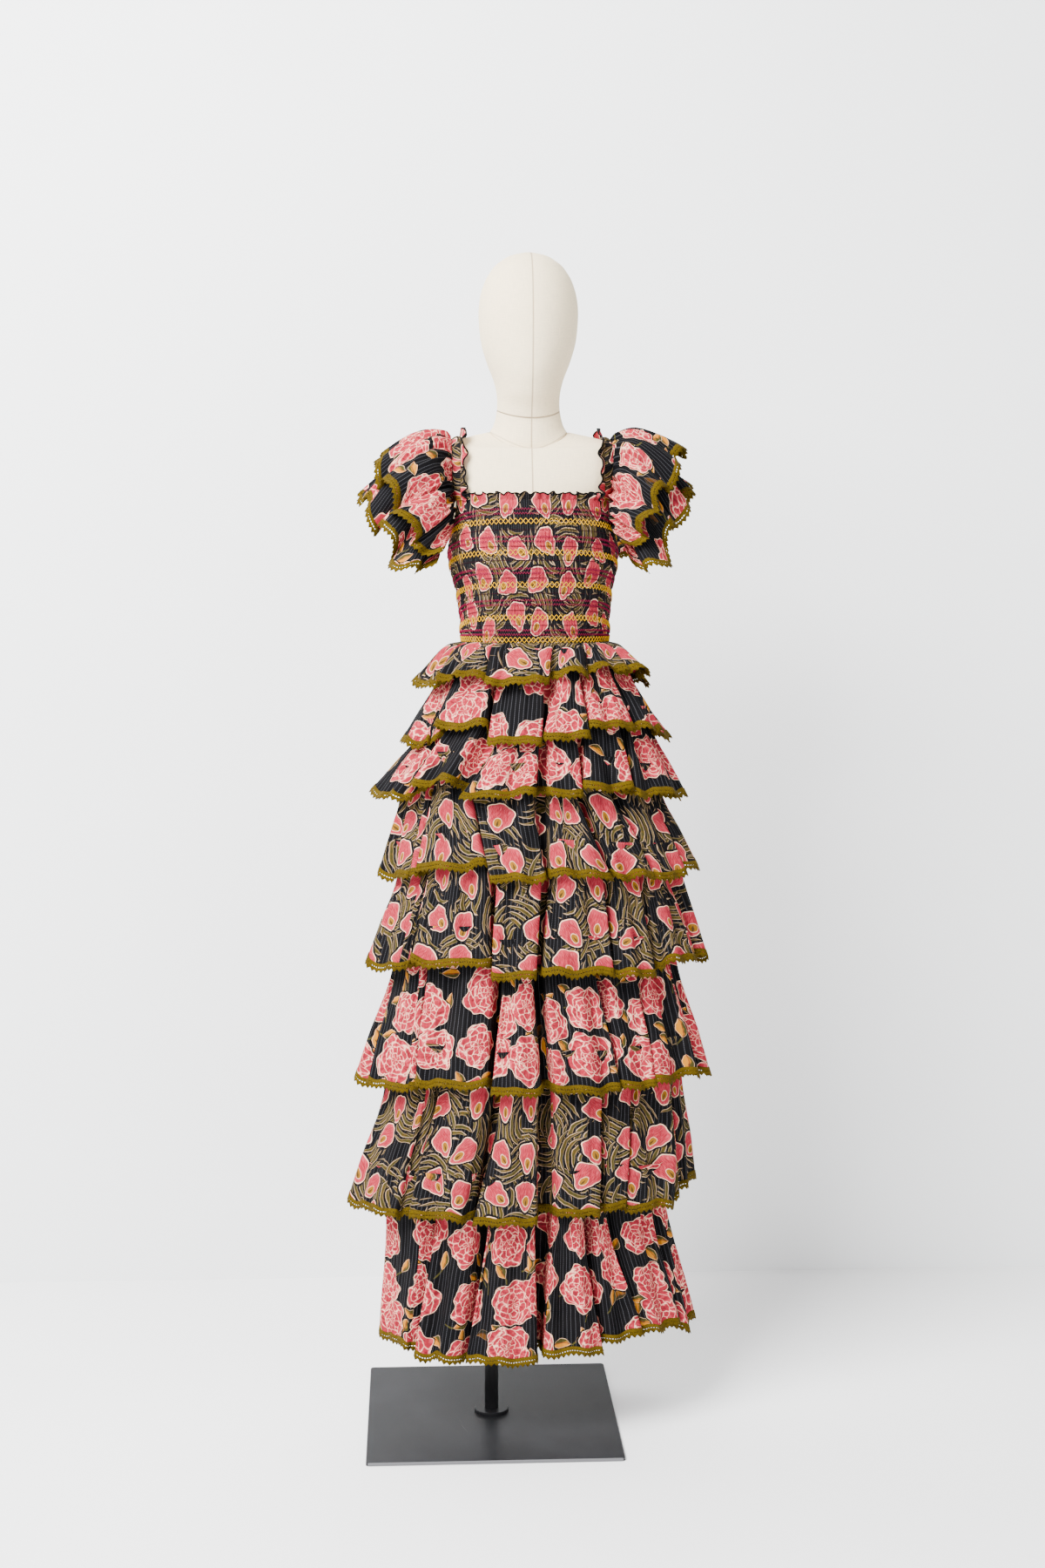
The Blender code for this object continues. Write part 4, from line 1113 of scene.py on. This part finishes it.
def hem_ripple(seed, along, down):
    """Wider waves in which a ruffle's free edge flares: how far out, and how far up, in metres."""
    rng = np.random.default_rng(seed)
    out, up = np.zeros(np.broadcast(along, down).shape), 0.0
    for pitch, height in ((0.088, 4.6), (0.061, 5.0), (0.043, 3.6), (0.034, 2.0)):
        phase, beat = rng.uniform(0, 2 * np.pi, 2)
        wave = 2 * np.pi * along / pitch + phase + 0.8 * np.sin(along / (pitch * 4.1) + beat)
        out = out + height * MM * np.sin(wave) * (0.75 + 0.25 * np.sin(along / (pitch * 3.3) + beat))
        up = up + 0.60 * height * MM * np.sin(wave + 1.1)
    return out * down**0.75, up * down**2


def tier_lattice(tier):
    """Outside of one tier, fine enough for its gathers; also its cloth coordinates and hem."""
    sizes = bpy.context.scene.dress_sizes
    rings = tier_rings()[tier]
    hem = rings[-1]
    spans = np.linalg.norm(np.roll(hem, -1, axis=0) - hem, axis=1)
    pieces = np.clip(np.round(spans / sizes.cloth_step).astype(int), 3, 40)
    fine = np.array([spline(ring, pieces, True) for ring in rings])
    drop = [np.linalg.norm(b - a, axis=1).mean() for a, b in zip(fine, fine[1:])]
    share = np.concatenate([[0], np.cumsum(drop)]) / sum(drop)
    steps = np.maximum(np.round(np.diff(share) * sizes.tier_rows).astype(int), 3)
    points = spline(fine, steps, False)
    heights = fall_along(points)
    start = heights[steps[0]] if tier > 1 else 0.0
    down = np.clip((heights - start) / (heights[-1] - start), 0, 1)[:, None]
    along = length_along(fine[-1], True)
    angle = np.arctan2(points[..., 0], -points[..., 1])
    plan = points.copy()
    plan[..., 2] = 0
    wide = np.concatenate([plan[:, -1:], plan, plan[:, :1]], axis=1)
    across = wide[:, 2:] - wide[:, :-2]
    out = np.stack([across[..., 1], -across[..., 0], 0 * across[..., 0]], axis=-1)
    out /= np.maximum(np.linalg.norm(out, axis=2), 1e-9)[..., None]
    weight = lobe_weight(tier, points)
    rise_in = np.clip(heights / max(start, 0.012), 0, 1)[:, None] ** 2
    bumps = crease_height(tier, angle, down * np.ones_like(angle)) * weight
    bumps += gather_waves(40 + tier, along[None, :-1], down * np.ones_like(angle),
                          sizes.gather * (1.5 if tier == 1 else 1.0)) * np.maximum(weight, 0.5)
    flare, lift = hem_ripple(60 + tier, along[None, :-1], down * np.ones_like(angle))
    bumps += flare * weight
    points = points + out * (bumps * rise_in)[..., None]
    points[..., 2] += lift * weight
    return points, cloth_map(along + 0.37 * tier, -heights[:, None] + 0.53 * tier)


def edging_strip(name, hem, down, out, closed, finish):
    """Crochet edging along a hem: a band, a row of eyelets and a pointed edge."""
    tooth = bpy.context.scene.dress_sizes.tooth
    along = length_along(hem, closed)
    teeth = max(round(along[-1] / tooth), 4)
    work = bmesh.new()
    bmesh.ops.create_grid(work, x_segments=2 * teeth, y_segments=3, size=0.5)
    eyelets = []
    for face in work.faces:
        if abs(face.calc_center_median().y) < 0.1:
            eyelets.append(face)
    for vertex in work.verts:
        column = round((vertex.co.x + 0.5) * 2 * teeth)
        row = round((0.5 - vertex.co.y) * 3)
        drop = EDGING_LEVELS[row]
        if row == 3 and column % 2 == 0:
            drop = EDGING_VALLEY
        vertex.co = (column * tooth / 2, -drop, 0.0)
    bmesh.ops.inset_individual(work, faces=eyelets, thickness=EYELET_FRAME)
    corners = list({vertex for face in eyelets for vertex in face.verts})
    bmesh.ops.bevel(work, geom=corners, offset=EYELET_CORNER, segments=1, profile=0.5, affect="VERTICES",
                    material=-1)
    holes = [face for face in work.faces if len(face.verts) == 8]
    bmesh.ops.delete(work, geom=holes, context="FACES")
    layer = work.loops.layers.uv.new("Cloth")
    for face in work.faces:
        for loop in face.loops:
            loop[layer].uv = (loop.vert.co.x, loop.vert.co.y)
    verts = list(work.verts)
    flat = np.array([vertex.co for vertex in verts])
    s = flat[:, 0] / (teeth * tooth) * along[-1]

    def at(values):
        ends = np.concatenate([values, values[:1]]) if closed else values
        return np.stack([np.interp(s, along, ends[:, axis]) for axis in range(3)], axis=1)

    ripple = (waves(1 / 0.031, flat[:, 0]) + waves(1 / 0.0533, flat[:, 0], 1)) * 0.5
    lean = (0.5 * MM + ripple * 0.9 * MM * np.clip(-flat[:, 1] / TRIM_HEIGHT, 0, 1))[:, None]
    placed_at = at(hem) + at(down) * -flat[:, 1:2] + at(out) * lean
    for vertex, co in zip(verts, placed_at):
        vertex.co = co
    if closed:
        bmesh.ops.remove_doubles(work, verts=work.verts, dist=0.02 * MM)
    made = add_piece(name, work, finish)
    wall = made.modifiers.new("Yarn thickness", "SOLIDIFY")
    wall.thickness = 1.2 * MM
    wall.offset = 0.0
    return made


def evened(rows, reach=5):
    """Running mean along a line, so that the edging hangs evenly from a rippled hem."""
    kernel = np.ones(2 * reach + 1) / (2 * reach + 1)
    padded = np.pad(rows, ((reach, reach), (0, 0)), mode="edge")
    return np.stack([np.convolve(padded[:, axis], kernel, mode="valid") for axis in range(3)], axis=1)


def edging_yarn():
    return yarn("olive_crochet_yarn", tuple(bpy.context.scene.dress_colours.edging), 1.4 * MM, 0.42)


class DRESS_OT_skirt(Operator):
    """Makes the eight gathered tiers of the skirt and the crochet edging at each hem"""

    bl_idname = "dress.skirt"
    bl_label = "Skirt tiers and edgings"

    def execute(self, context):
        for tier in TIERS:
            points, cloth = tier_lattice(tier)
            roses = tier in ROSETTE_TIERS
            finish = rosette_cotton() if roses else flower_cotton()
            piece = cloth_piece(f"skirt_tier_{tier}", points, cloth, True, finish)
            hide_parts(f"tier_{tier}")
            hem = points[-1]
            down = unit(points[-1] - points[-4])
            out = unit(lattice_normals(points, True)[-1])
            edging = edging_strip(f"tier_edging_{tier}", hem, down, out, True, edging_yarn())
            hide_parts(f"trim_{tier}")
            width = cloth[0, -1, 0] - cloth[0, 0, 0]
            height = cloth[0, 0, 1] - cloth[-1, 0, 1]
        return {"FINISHED"}


def flounce_lattice(key, side, count=261, rows=26):
    """Outside of one sleeve flounce, from the armhole and strap to its hem."""
    layer = key.split("_")[0]
    stations = smooth_rows(SLEEVES[key], count)
    head = armhole_line(side, count)
    kernel = np.ones(9) / 9
    for axis in range(3):
        padded = np.pad(head[:, axis], 4, mode="edge")
        head[:, axis] = np.convolve(padded, kernel, mode="valid")
    hem = stations[:, :3] * np.array([side, 1.0, 1.0])
    bow = stations[:, 3:] * MM
    around = np.gradient(hem, axis=0)
    out = unit(np.cross(hem - head, around) * side)
    head = head + out * SLEEVE_HEAD_LIFT[layer]
    part = np.linspace(0, 1, count)[:, None]
    phase = 2 * math.pi * SLEEVE_WAVES * part
    rng = np.random.default_rng(len(key) * 7 + (3 if side > 0 else 0))
    shifts = rng.uniform(0, 2 * np.pi, 8)
    sweep = unit(around)
    pleat, close = np.zeros_like(part), np.zeros_like(part)
    for place, mouth, depth in SLEEVE_FOLDS[side]:
        apart = (part - place) / mouth
        pleat -= depth * MM * np.exp(-(apart**2))
        close -= 0.75 * depth * MM * apart * np.exp(-(apart**2))
    lattice = []
    for down in np.linspace(0, 1, rows):
        rest = (down - 0.4) / 0.6
        bowed = math.sin(math.pi / 2 * down / 0.4) if down < 0.4 else math.cos(math.pi / 2 * rest)
        wave = SLEEVE_WAVE[layer] * down**1.5 * np.cos(phase)
        small = 0.0
        for index, count_of in enumerate((19, 27, 38, 52)):
            fade = math.exp(-down * (0.8 + 0.6 * index)) * min(down / 0.06 + 0.25, 1.0)
            small += fade * waves(count_of, part, shifts[index] + (shifts[index + 4] - 3) * down)
        ripple = waves(9.5, part, 1.1) * 2.8 + waves(14.2, part, 0.4) * 1.9
        ripple = (ripple + waves(22.3, part, shifts[0]) * 0.6) * MM * down**1.3
        reach = down + (waves(5.3, part, 0.7) * 0.055 + waves(9.1, part, 2.0) * 0.025) * down**2
        line = head + (hem - head) * reach + sweep * (close * down**1.6)
        lattice.append(line + out * (bow * bowed + wave + ripple + pleat * down**1.2 + 3.0 * MM * small))
    return np.array(lattice)


class DRESS_OT_sleeves(Operator):
    """Makes the two gathered flounces of each sleeve with their crochet edging"""

    bl_idname = "dress.sleeves"
    bl_label = "Sleeve flounces and edgings"

    def execute(self, context):
        for key in SLEEVES:
            side = -1 if key.endswith("left") else 1
            points = flounce_lattice(key, side)
            if side > 0:
                points = points[:, ::-1]
            along = length_along(points[-1])
            fall = fall_along(points)
            cloth = cloth_map(along + 3.1 + 0.7 * len(key) + 0.9 * side, -fall[:, None] + 0.4 * side)
            piece = cloth_piece("flounce_" + key, points, cloth, False, rosette_cotton())
            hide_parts("sleeve_" + key)
            normal = unit(evened(lattice_normals(points, False)[-1], 9))
            fall_way = unit(evened(points[-1] - points[-5], 12))
            edging = edging_strip("flounce_edging_" + key, points[-1], fall_way, normal, False,
                                  edging_yarn())
            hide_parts("sleeve_trim_" + key)
            "strap_" + key.split("_")[1]
        return {"FINISHED"}


def bodice_surface(turn, part, share, lift=0.0):
    """Points of one bodice panel; part runs across from -1 to 1, share up from waist to edge."""
    reach = math.radians(90)
    angle = turn + reach * part
    x_top = oval(level_at(BODICE, NECKLINE_Z), angle, NECKLINE_Z)[..., 0]
    top = bodice_top(x_top)
    z = WAIST_Z + (top - WAIST_Z) * share
    level = z + (NECKLINE_Z - UNDERARM_Z) * 0.55 * np.abs(part) ** 4 * share
    puff = np.interp(level, [row[0] for row in PUFFS], [row[1] for row in PUFFS])
    puff = 1.5 * np.sin(np.clip(puff / 1.5, 0, 1) * np.pi / 2) ** 1.2
    points = oval(soft_levels(BODICE, z), angle, z)
    out = points * np.array([1.0, 1.0, 0.0]) - np.stack(np.broadcast_arrays(0.003, 0.0, 0 * z), axis=-1)
    return points + unit(out) * (puff * MM + lift)[..., None]


def stitch_height(middle, side, part):
    """Height of a row of stitches, which drops towards the side seams."""
    return middle + (side - middle) * np.abs(part) ** 3.2


def on_bodice(turn, part, z, lift):
    """Point on the bodice at a height, for threads that lie on it."""
    angle = turn + math.radians(90) * part
    x_top = oval(level_at(BODICE, NECKLINE_Z), angle, NECKLINE_Z)[..., 0]
    share = np.clip((z - WAIST_Z) / (bodice_top(x_top) - WAIST_Z), 0, 1)
    return bodice_surface(turn, part, share, lift)


class DRESS_OT_bodice(Operator):
    """Makes the smocked bodice front and back with their rows of hand stitches"""

    bl_idname = "dress.bodice"
    bl_label = "Smocked bodice and stitching"

    def execute(self, context):
        hues = context.scene.dress_colours
        threads = {"cross": [], "cable": [], "shirr": []}
        pitch = context.scene.dress_sizes.cross_pitch
        for name, turn in (("front", 0.0), ("back", math.pi)):
            part = np.linspace(-1, 1, 421)[None]
            share = np.linspace(1, 0, 64)[:, None]
            part, share = np.broadcast_arrays(part, share)
            around = SMOCKED_WIDE
            gathers = np.sin(part * around / 2 / 0.0048 * 2 * np.pi + 2 * np.sin(share * 21 + part * 9))
            slow = 0.6 + 0.4 * np.sin(part * 37 + share * 13)
            points = bodice_surface(turn, part, share, gathers * slow * 0.85 * MM)
            cloth = cloth_map(part * around / 2 * SMOCK_DRAW + BODICE_SHIFT[name],
                              share * SMOCKED_TALL + PRINT_FOOT)
            piece = cloth_piece("smocked_bodice_" + name, points, cloth, False, smocked_cotton())
            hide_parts("bodice_" + name)
            count = round(around / pitch)
            step = 2 / count
            for kind, middle, side in STITCH_ROWS:
                if kind == "cross":
                    for index in range(count):
                        left = -1 + index * step
                        for low, high in ((-1, 1), (1, -1)):
                            t = np.linspace(0, 1, 4)
                            across = left + step * (0.02 + 0.96 * t)
                            z = stitch_height(middle, side, across) + (low + (high - low) * t) * 4.3 * MM
                            threads[kind].append(on_bodice(turn, across, z, np.full(4, 1.5 * MM)))
                elif kind == "cable":
                    for shift in (-3.3, 3.3):
                        t = np.linspace(-1, 1, 191)
                        zig = np.where(np.arange(191) % 2 == 0, 1.0, -1.0) * 1.6 * MM
                        z = stitch_height(middle, side, t) + shift * MM + zig
                        threads[kind].append(on_bodice(turn, t, z, np.full(191, 1.2 * MM)))
                else:
                    t = np.linspace(-1, 1, 121)
                    z = stitch_height(middle, side, t)
                    threads[kind].append(on_bodice(turn, t, z, np.full(121, 0.6 * MM)))
        finishes = {
            "cross": ("yellow_cross_stitches", 0.50 * MM,
                      yarn("yellow_stitch_thread", tuple(hues.yellow), 0.8 * MM, 0.75)),
            "cable": ("magenta_cable_stitches", 0.60 * MM,
                      yarn("magenta_stitch_thread", tuple(hues.magenta), 0.8 * MM, 0.6)),
            "shirr": ("shirring_threads", 0.40 * MM,
                      yarn("shirring_thread", SHIRRING_HUE, 0.8 * MM, 0.6)),
        }
        for kind, (name, radius, finish) in finishes.items():
            piece = thread_piece(name, threads[kind], radius, finish)
        return {"FINISHED"}


class DRESS_OT_neck_edging(Operator):
    """Makes the gathered neckline frills, the puckered shoulder bands and their black edges"""

    bl_idname = "dress.neck_edging"
    bl_label = "Neckline frills and shoulder bands"

    def execute(self, context):
        edges = []
        for name, turn in (("front", 0.0), ("back", math.pi)):
            reach = math.asin((STRAP_X - 13.0 * MM) / BODICE[-1][1]) + math.radians(2.5)
            part = np.linspace(-1, 1, 241)
            angle = turn + reach * part
            base = oval(level_at(BODICE, NECKLINE_Z), angle, NECKLINE_Z)
            out = unit(base * np.array([1.0, 1.0, 0.0]))
            wave = np.sin(part * 66) * 1.9 + np.sin(part * 41 + 1) * 1.6
            lines = []
            for up in np.linspace(1, 0, 7):
                height = up * (9.2 + 1.2 * np.sin(part * 37) + 1.3 * np.sin(part * 58 + 2)) * MM
                point = base + out * ((3.2 * up + wave * (0.35 + 0.9 * up)) * MM)[:, None]
                point[:, 2] += height
                lines.append(point)
            points = np.array(lines)
            drawn = reach / math.radians(90) * SMOCKED_WIDE / 2 * SMOCK_DRAW
            cloth = cloth_map(part * drawn + BODICE_SHIFT[name],
                              (PRINT_FOOT + SMOCKED_TALL + np.linspace(9, 0, 7) * MM)[:, None])
            piece = cloth_piece("neckline_frill_" + name, points, cloth, False, smocked_cotton())
            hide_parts("neck_frill_" + name)
            edges.append(points[0])
        for word, side in (("left", -1), ("right", 1)):
            middle, normal = shoulder_line(side, STRAP_X, STRAP_CLEAR + CLOTH, 81)
            steps = np.linspace(0, 1, 81)
            pucker = np.sin(steps * 105) * 0.7 + np.sin(steps * 67 + 1) * 0.5
            band = []
            for across in np.linspace(-1, 1, 9) * side:
                shift = across * side * (5.5 if across * side < 0 else 8.5) * MM
                line = shoulder_line(side, STRAP_X + shift, STRAP_CLEAR + CLOTH, 81)[0]
                dome = 1.6 * (1 - across**2) + pucker * (0.9 - 0.3 * abs(across))
                band.append(line + normal * (dome * MM)[:, None])
            points = np.array(band)
            along = length_along(middle)
            cloth = cloth_map(along * 1.5 + 5.0 * side, (np.linspace(-6, 6, 9) * MM)[:, None])
            if side < 0:
                points, cloth = points[::-1], cloth[::-1]
            piece = cloth_piece("shoulder_band_" + word, points, cloth, False, smocked_cotton())
            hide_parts("strap_" + word)
            inner, normal = shoulder_line(side, STRAP_X - STRAP_HALF, STRAP_CLEAR + CLOTH, 161)
            steps = np.linspace(0, 1, 161)
            lean = np.array([-side * 1.0, 0.0, 0.0])
            wave = (np.sin(steps * 66) * 2.8 + np.sin(steps * 41 + 2) * 2.0) * MM
            tall = (12.0 + 1.5 * np.sin(steps * np.pi) + 0.8 * np.sin(steps * 37)) * MM
            lines = [inner + normal * (tall * up)[:, None]
                     + lean * ((wave * up)[:, None] + 6.5 * MM * up**1.4) for up in np.linspace(1, 0, 6)]
            points = np.array(lines)
            if side > 0:
                points = points[:, ::-1]
            along = length_along(points[-1])
            cloth = cloth_map(along * 1.4 + 6.0 + side, (np.linspace(11, 0, 6) * MM)[:, None])
            piece = cloth_piece("shoulder_frill_" + word, points, cloth, False, smocked_cotton())
            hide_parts("strap_frill_" + word)
            edges.append(points[0])
        binding = thread_piece("black_rolled_edges", edges, 1.3 * MM, black_edge())
        return {"FINISHED"}


def linen_cover():
    """Natural linen drawn tight over the form, with a pressed seam down the middle."""
    found = bpy.data.materials.get("natural_linen_cover")
    if found:
        return found
    hues = bpy.context.scene.dress_colours
    made, tree, shader = new_finish("natural_linen_cover", 0.88, Sheen_Weight=0.05, Specular_IOR_Level=0.15)
    cloth = cloth_uv(tree)
    weave = placed(tree, "Plain weave", plain_weave, Cloth=cloth, Thread=0.75)
    tone = Wire(tree, weave.outputs["Tone"])
    u, v, _ = split(cloth)
    slub = streaks(u * 25.0, v * 900.0).ramp(0.62, 0.78)
    warp = streaks(u * 900.0, v * 25.0).ramp(0.62, 0.78)
    base = tuple(hues.linen)
    image = paint(tone.ramp(0.35, 0.65), colour(tuple(part * 0.85 for part in base)), colour(base))
    thick = colour((base[0] * 0.80, base[1] * 0.74, base[2] * 0.66))
    image = paint(slub.most(warp) * 0.5, image, thick)
    x, y, z = split(object_place(tree))
    front = (y * -1.0 / (x.square() + y.square()).root()).most(0.0).math("POWER", 1.5)
    seam = (x - FRONT_SEAM_X).size().ramp(0.0016, 0.0007) * y.ramp(0.0, -0.01)
    jaw = (z - JAW_Z + front * JAW_DIP).size().ramp(0.0018, 0.0006)
    collar = (z - COLLAR_Z + front * COLLAR_DIP).size().ramp(0.0016, 0.0006) * 0.6
    seam = seam.most(jaw).most(collar)
    image = paint(seam * 0.72, image, colour(SEAM_HUE))
    image = paint(noise(cloth, 9.0, 3.0).ramp(0.4, 0.7) * 0.12, image, colour((0.70, 0.60, 0.47)))
    plug(image, shader.inputs["Base Color"])
    plug(tone * 0.15 + 0.78, shader.inputs["Roughness"])
    groove = relief(tree, shader, (x - FRONT_SEAM_X).size().ramp(0.0016, 0.0), -0.5 * MM, 0.8)
    relief(tree, shader, Wire(tree, weave.outputs["Height"]), 0.22 * MM, 0.75, groove)
    return made


def seam_dip(z, angle):
    """How far the neck seams run down in front of the form."""
    front = np.maximum(np.cos(angle), 0.0) ** 1.5
    jaw = np.clip(1 - np.abs(z - JAW_Z) / 0.035, 0, 1) * -JAW_DIP
    collar = np.clip(1 - np.abs(z - COLLAR_Z) / 0.026, 0, 1) * -COLLAR_DIP
    return (jaw + collar) * front


def form_points(rows, levels, columns=128):
    """Lattice of points on one piece of the form, its seams run down in front."""
    heights = [row[0] for row in rows]
    z = np.interp(np.linspace(0, 1, levels), np.linspace(0, 1, len(rows)), heights)[:, None]
    angle = np.linspace(-np.pi, np.pi, columns, endpoint=False)[None]
    z, angle = np.broadcast_arrays(z, angle)
    points = oval(soft_levels(rows, z), angle, z)
    points[..., 2] += seam_dip(z, angle)
    return points


class DRESS_OT_form(Operator):
    """Makes the smooth linen-covered body, neck and head of the dress form with its seams"""

    bl_idname = "dress.form"
    bl_label = "Linen dress form"

    def execute(self, context):
        for name, node, rows, levels in (("linen_body", "form_torso", TORSO, 110),
                                         ("linen_neck", "form_neck", NECK, 24),
                                         ("linen_head", "form_head", HEAD, 90)):
            points = form_points(rows, levels)[::-1]
            cloth = cloth_map(length_along(points[levels // 2], True), points[:, :1, 2])
            piece = cloth_piece(name, points, cloth, True, linen_cover())
            work = bmesh.new()
            work.from_mesh(piece.data)
            rims = [edge for edge in work.edges if edge.is_boundary]
            bmesh.ops.holes_fill(work, edges=rims, sides=0)
            bmesh.ops.recalc_face_normals(work, faces=work.faces)
            work.to_mesh(piece.data)
            work.free()
            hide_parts(node)
        return {"FINISHED"}


def satin_black_steel():
    """Satin black paint on steel: soft mottling, fine scratches, and a painted highlight along the plate's
    top rim.
    """
    hues = bpy.context.scene.dress_colours
    made, tree, shader = new_finish("satin_black_steel", 0.42, Metallic=0.0, Specular_IOR_Level=0.05,
                                    Coat_Weight=0.02, Coat_Roughness=0.28)
    place = object_place(tree)
    x, y, z = split(place)
    cloud = noise(place, 7.0, 4.0)
    speck = noise(place, 420.0, 2.0)
    scratch_a = streaks(x * 900.0 + y * 260.0, y * 9.0, z).ramp(0.70, 0.76)
    scratch_b = streaks(x * 12.0, y * 760.0 - x * 240.0, z).ramp(0.71, 0.77)
    foot = ((x - PLATE_X).square() + (y + 0.02).square()).root().ramp(0.16, 0.04)
    scratches = (scratch_a + scratch_b) * (foot * 0.55 + 0.15)
    base = tuple(hues.steel)
    image = paint(cloud.ramp(0.35, 0.7), colour(base), colour(tuple(part * 1.9 for part in base)))
    image = paint(scratches * 0.35, image, colour((0.16, 0.16, 0.17)))
    # painted highlight: a thin pale band round the plate's top rim, where its bevel catches the light
    rim_highlight_mask = (x - PLATE_X).size().most(y.size()).ramp(0.1985, 0.1998) * z.ramp(0.0085, 0.0055)
    image = paint(rim_highlight_mask * 0.55, image, colour((0.22, 0.22, 0.23)))
    plug(image, shader.inputs["Base Color"])
    plug(cloud * 0.16 + speck * 0.08 + 0.30, shader.inputs["Roughness"])
    relief(tree, shader, speck + scratches * -1.5, 0.05 * MM, 0.5)
    return made


class DRESS_OT_stand(Operator):
    """Finishes the steel plate, flange and pole"""

    bl_idname = "dress.stand"
    bl_label = "Steel stand"

    def execute(self, context):
        finish = satin_black_steel()
        for name in ("base_plate", "pole_flange", "pole"):
            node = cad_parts[name]
            node.data.materials.clear()
            node.data.materials.append(finish)
        return {"FINISHED"}


def room_paint(name, hue, roughness):
    """Matt white paint of the studio, faintly uneven; clear from behind, so the dress shows from there."""
    made, tree, shader = new_finish(name, roughness, Specular_IOR_Level=0.2)
    cloud = noise(object_place(tree), 1.3, 4.0)
    image = paint(cloud.ramp(0.35, 0.7), colour(hue), colour(tuple(part * 0.975 for part in hue)))
    plug(image, shader.inputs["Base Color"])
    behind = Wire(tree, tree.nodes.new("ShaderNodeNewGeometry").outputs["Backfacing"])
    plug(1.0 - behind, shader.inputs["Alpha"])
    return made


class DRESS_OT_stage(Operator):
    """Makes the pale floor and wall, the soft lights and the camera"""

    bl_idname = "dress.stage"
    bl_label = "Studio, lights and camera"

    def execute(self, context):
        scene = context.scene
        lights = scene.stage_lights
        work = bmesh.new()
        bmesh.ops.create_grid(work, x_segments=1, y_segments=1, size=ROOM_HALF)
        bmesh.ops.translate(work, verts=work.verts, vec=Vector((0.0, -1.0, FLOOR_Z)))
        wall = bmesh.ops.create_grid(work, x_segments=1, y_segments=1, size=ROOM_HALF)["verts"]
        for vertex in wall:
            vertex.co = Vector((vertex.co.x, WALL_Y, WALL_TOP if vertex.co.y > 0 else FLOOR_Z))
        mesh = bpy.data.meshes.new("studio_room")
        work.to_mesh(mesh)
        work.free()
        room = bpy.data.objects.new("studio_room", mesh)
        room.data.materials.append(room_paint("white_floor", (0.90, 0.90, 0.90), 0.6))
        room.data.materials.append(room_paint("white_wall", (0.88, 0.89, 0.895), 0.8))
        for polygon in mesh.polygons:
            polygon.material_index = 1 if abs(polygon.normal.z) < 0.5 else 0
        scene.collection.objects.link(room)
        for name, power, where, size in (("key", lights.key, (-1.85, -2.3, 3.5), 2.2),
                                         ("fill", lights.fill, (2.6, -3.2, 2.2), 2.4)):
            data = bpy.data.lights.new(name, "AREA")
            data.energy = power
            data.size = size
            light = bpy.data.objects.new(name, data)
            light.location = where
            aim = Vector((0.0, 0.0, 0.85)) - Vector(where)
            light.rotation_euler = aim.to_track_quat("-Z", "Y").to_euler()
            scene.collection.objects.link(light)
        world = bpy.data.worlds.new("white_room")
        world.use_nodes = True
        background = world.node_tree.nodes["Background"]
        background.inputs["Color"].default_value = (0.95, 0.975, 1.0, 1.0)
        path = world.node_tree.nodes.new("ShaderNodeLightPath")
        seen = Wire(world.node_tree, path.outputs["Is Camera Ray"])
        plug(seen * (2.4 - lights.room) + lights.room, background.inputs["Strength"])
        scene.world = world
        data = bpy.data.cameras.new("front_camera")
        data.lens = 50.0
        data.sensor_width = 36.0
        camera = bpy.data.objects.new("front_camera", data)
        camera.location = CAMERA_PLACE
        tilt = math.radians(CAMERA_TILT_DEG)
        right, forward = CAMERA_AHEAD
        ahead = Vector((right * math.cos(tilt), forward * math.cos(tilt), -math.sin(tilt)))
        camera.rotation_euler = ahead.to_track_quat("-Z", "Y").to_euler()
        scene.collection.objects.link(camera)
        scene.camera = camera
        return {"FINISHED"}


class DRESS_PT_panel(Panel):
    """Sizes, colours and steps of the dress"""

    bl_label = "Peasant dress"
    bl_idname = "DRESS_PT_panel"
    bl_space_type = "VIEW_3D"
    bl_region_type = "UI"
    bl_category = "Dress"

    def draw(self, context):
        scene = context.scene
        for settings in (scene.dress_sizes, scene.dress_colours, scene.stage_lights):
            box = self.layout.box()
            for label in settings.bl_rna.properties.keys():
                if label not in ("rna_type", "name"):
                    box.prop(settings, label)
        for step in STEPS:
            self.layout.operator(step.bl_idname)


STEPS = (DRESS_OT_stand, DRESS_OT_form, DRESS_OT_bodice, DRESS_OT_neck_edging, DRESS_OT_sleeves,
         DRESS_OT_skirt, DRESS_OT_stage)
GROUPS = (DressColours, DressSizes, StageLights)


def register():
    for kind in (*GROUPS, *STEPS, DRESS_PT_panel):
        bpy.utils.register_class(kind)
    bpy.types.Scene.dress_colours = PointerProperty(type=DressColours)
    bpy.types.Scene.dress_sizes = PointerProperty(type=DressSizes)
    bpy.types.Scene.stage_lights = PointerProperty(type=StageLights)


def unregister():
    del bpy.types.Scene.dress_colours
    del bpy.types.Scene.dress_sizes
    del bpy.types.Scene.stage_lights
    for kind in reversed((*GROUPS, *STEPS, DRESS_PT_panel)):
        bpy.utils.unregister_class(kind)


def main():
    register()
    bpy.ops.dress.stand()
    bpy.ops.dress.form()
    bpy.ops.dress.bodice()
    bpy.ops.dress.neck_edging()
    bpy.ops.dress.sleeves()
    bpy.ops.dress.skirt()
    bpy.ops.dress.stage()


if __name__ == "__main__":
    main()
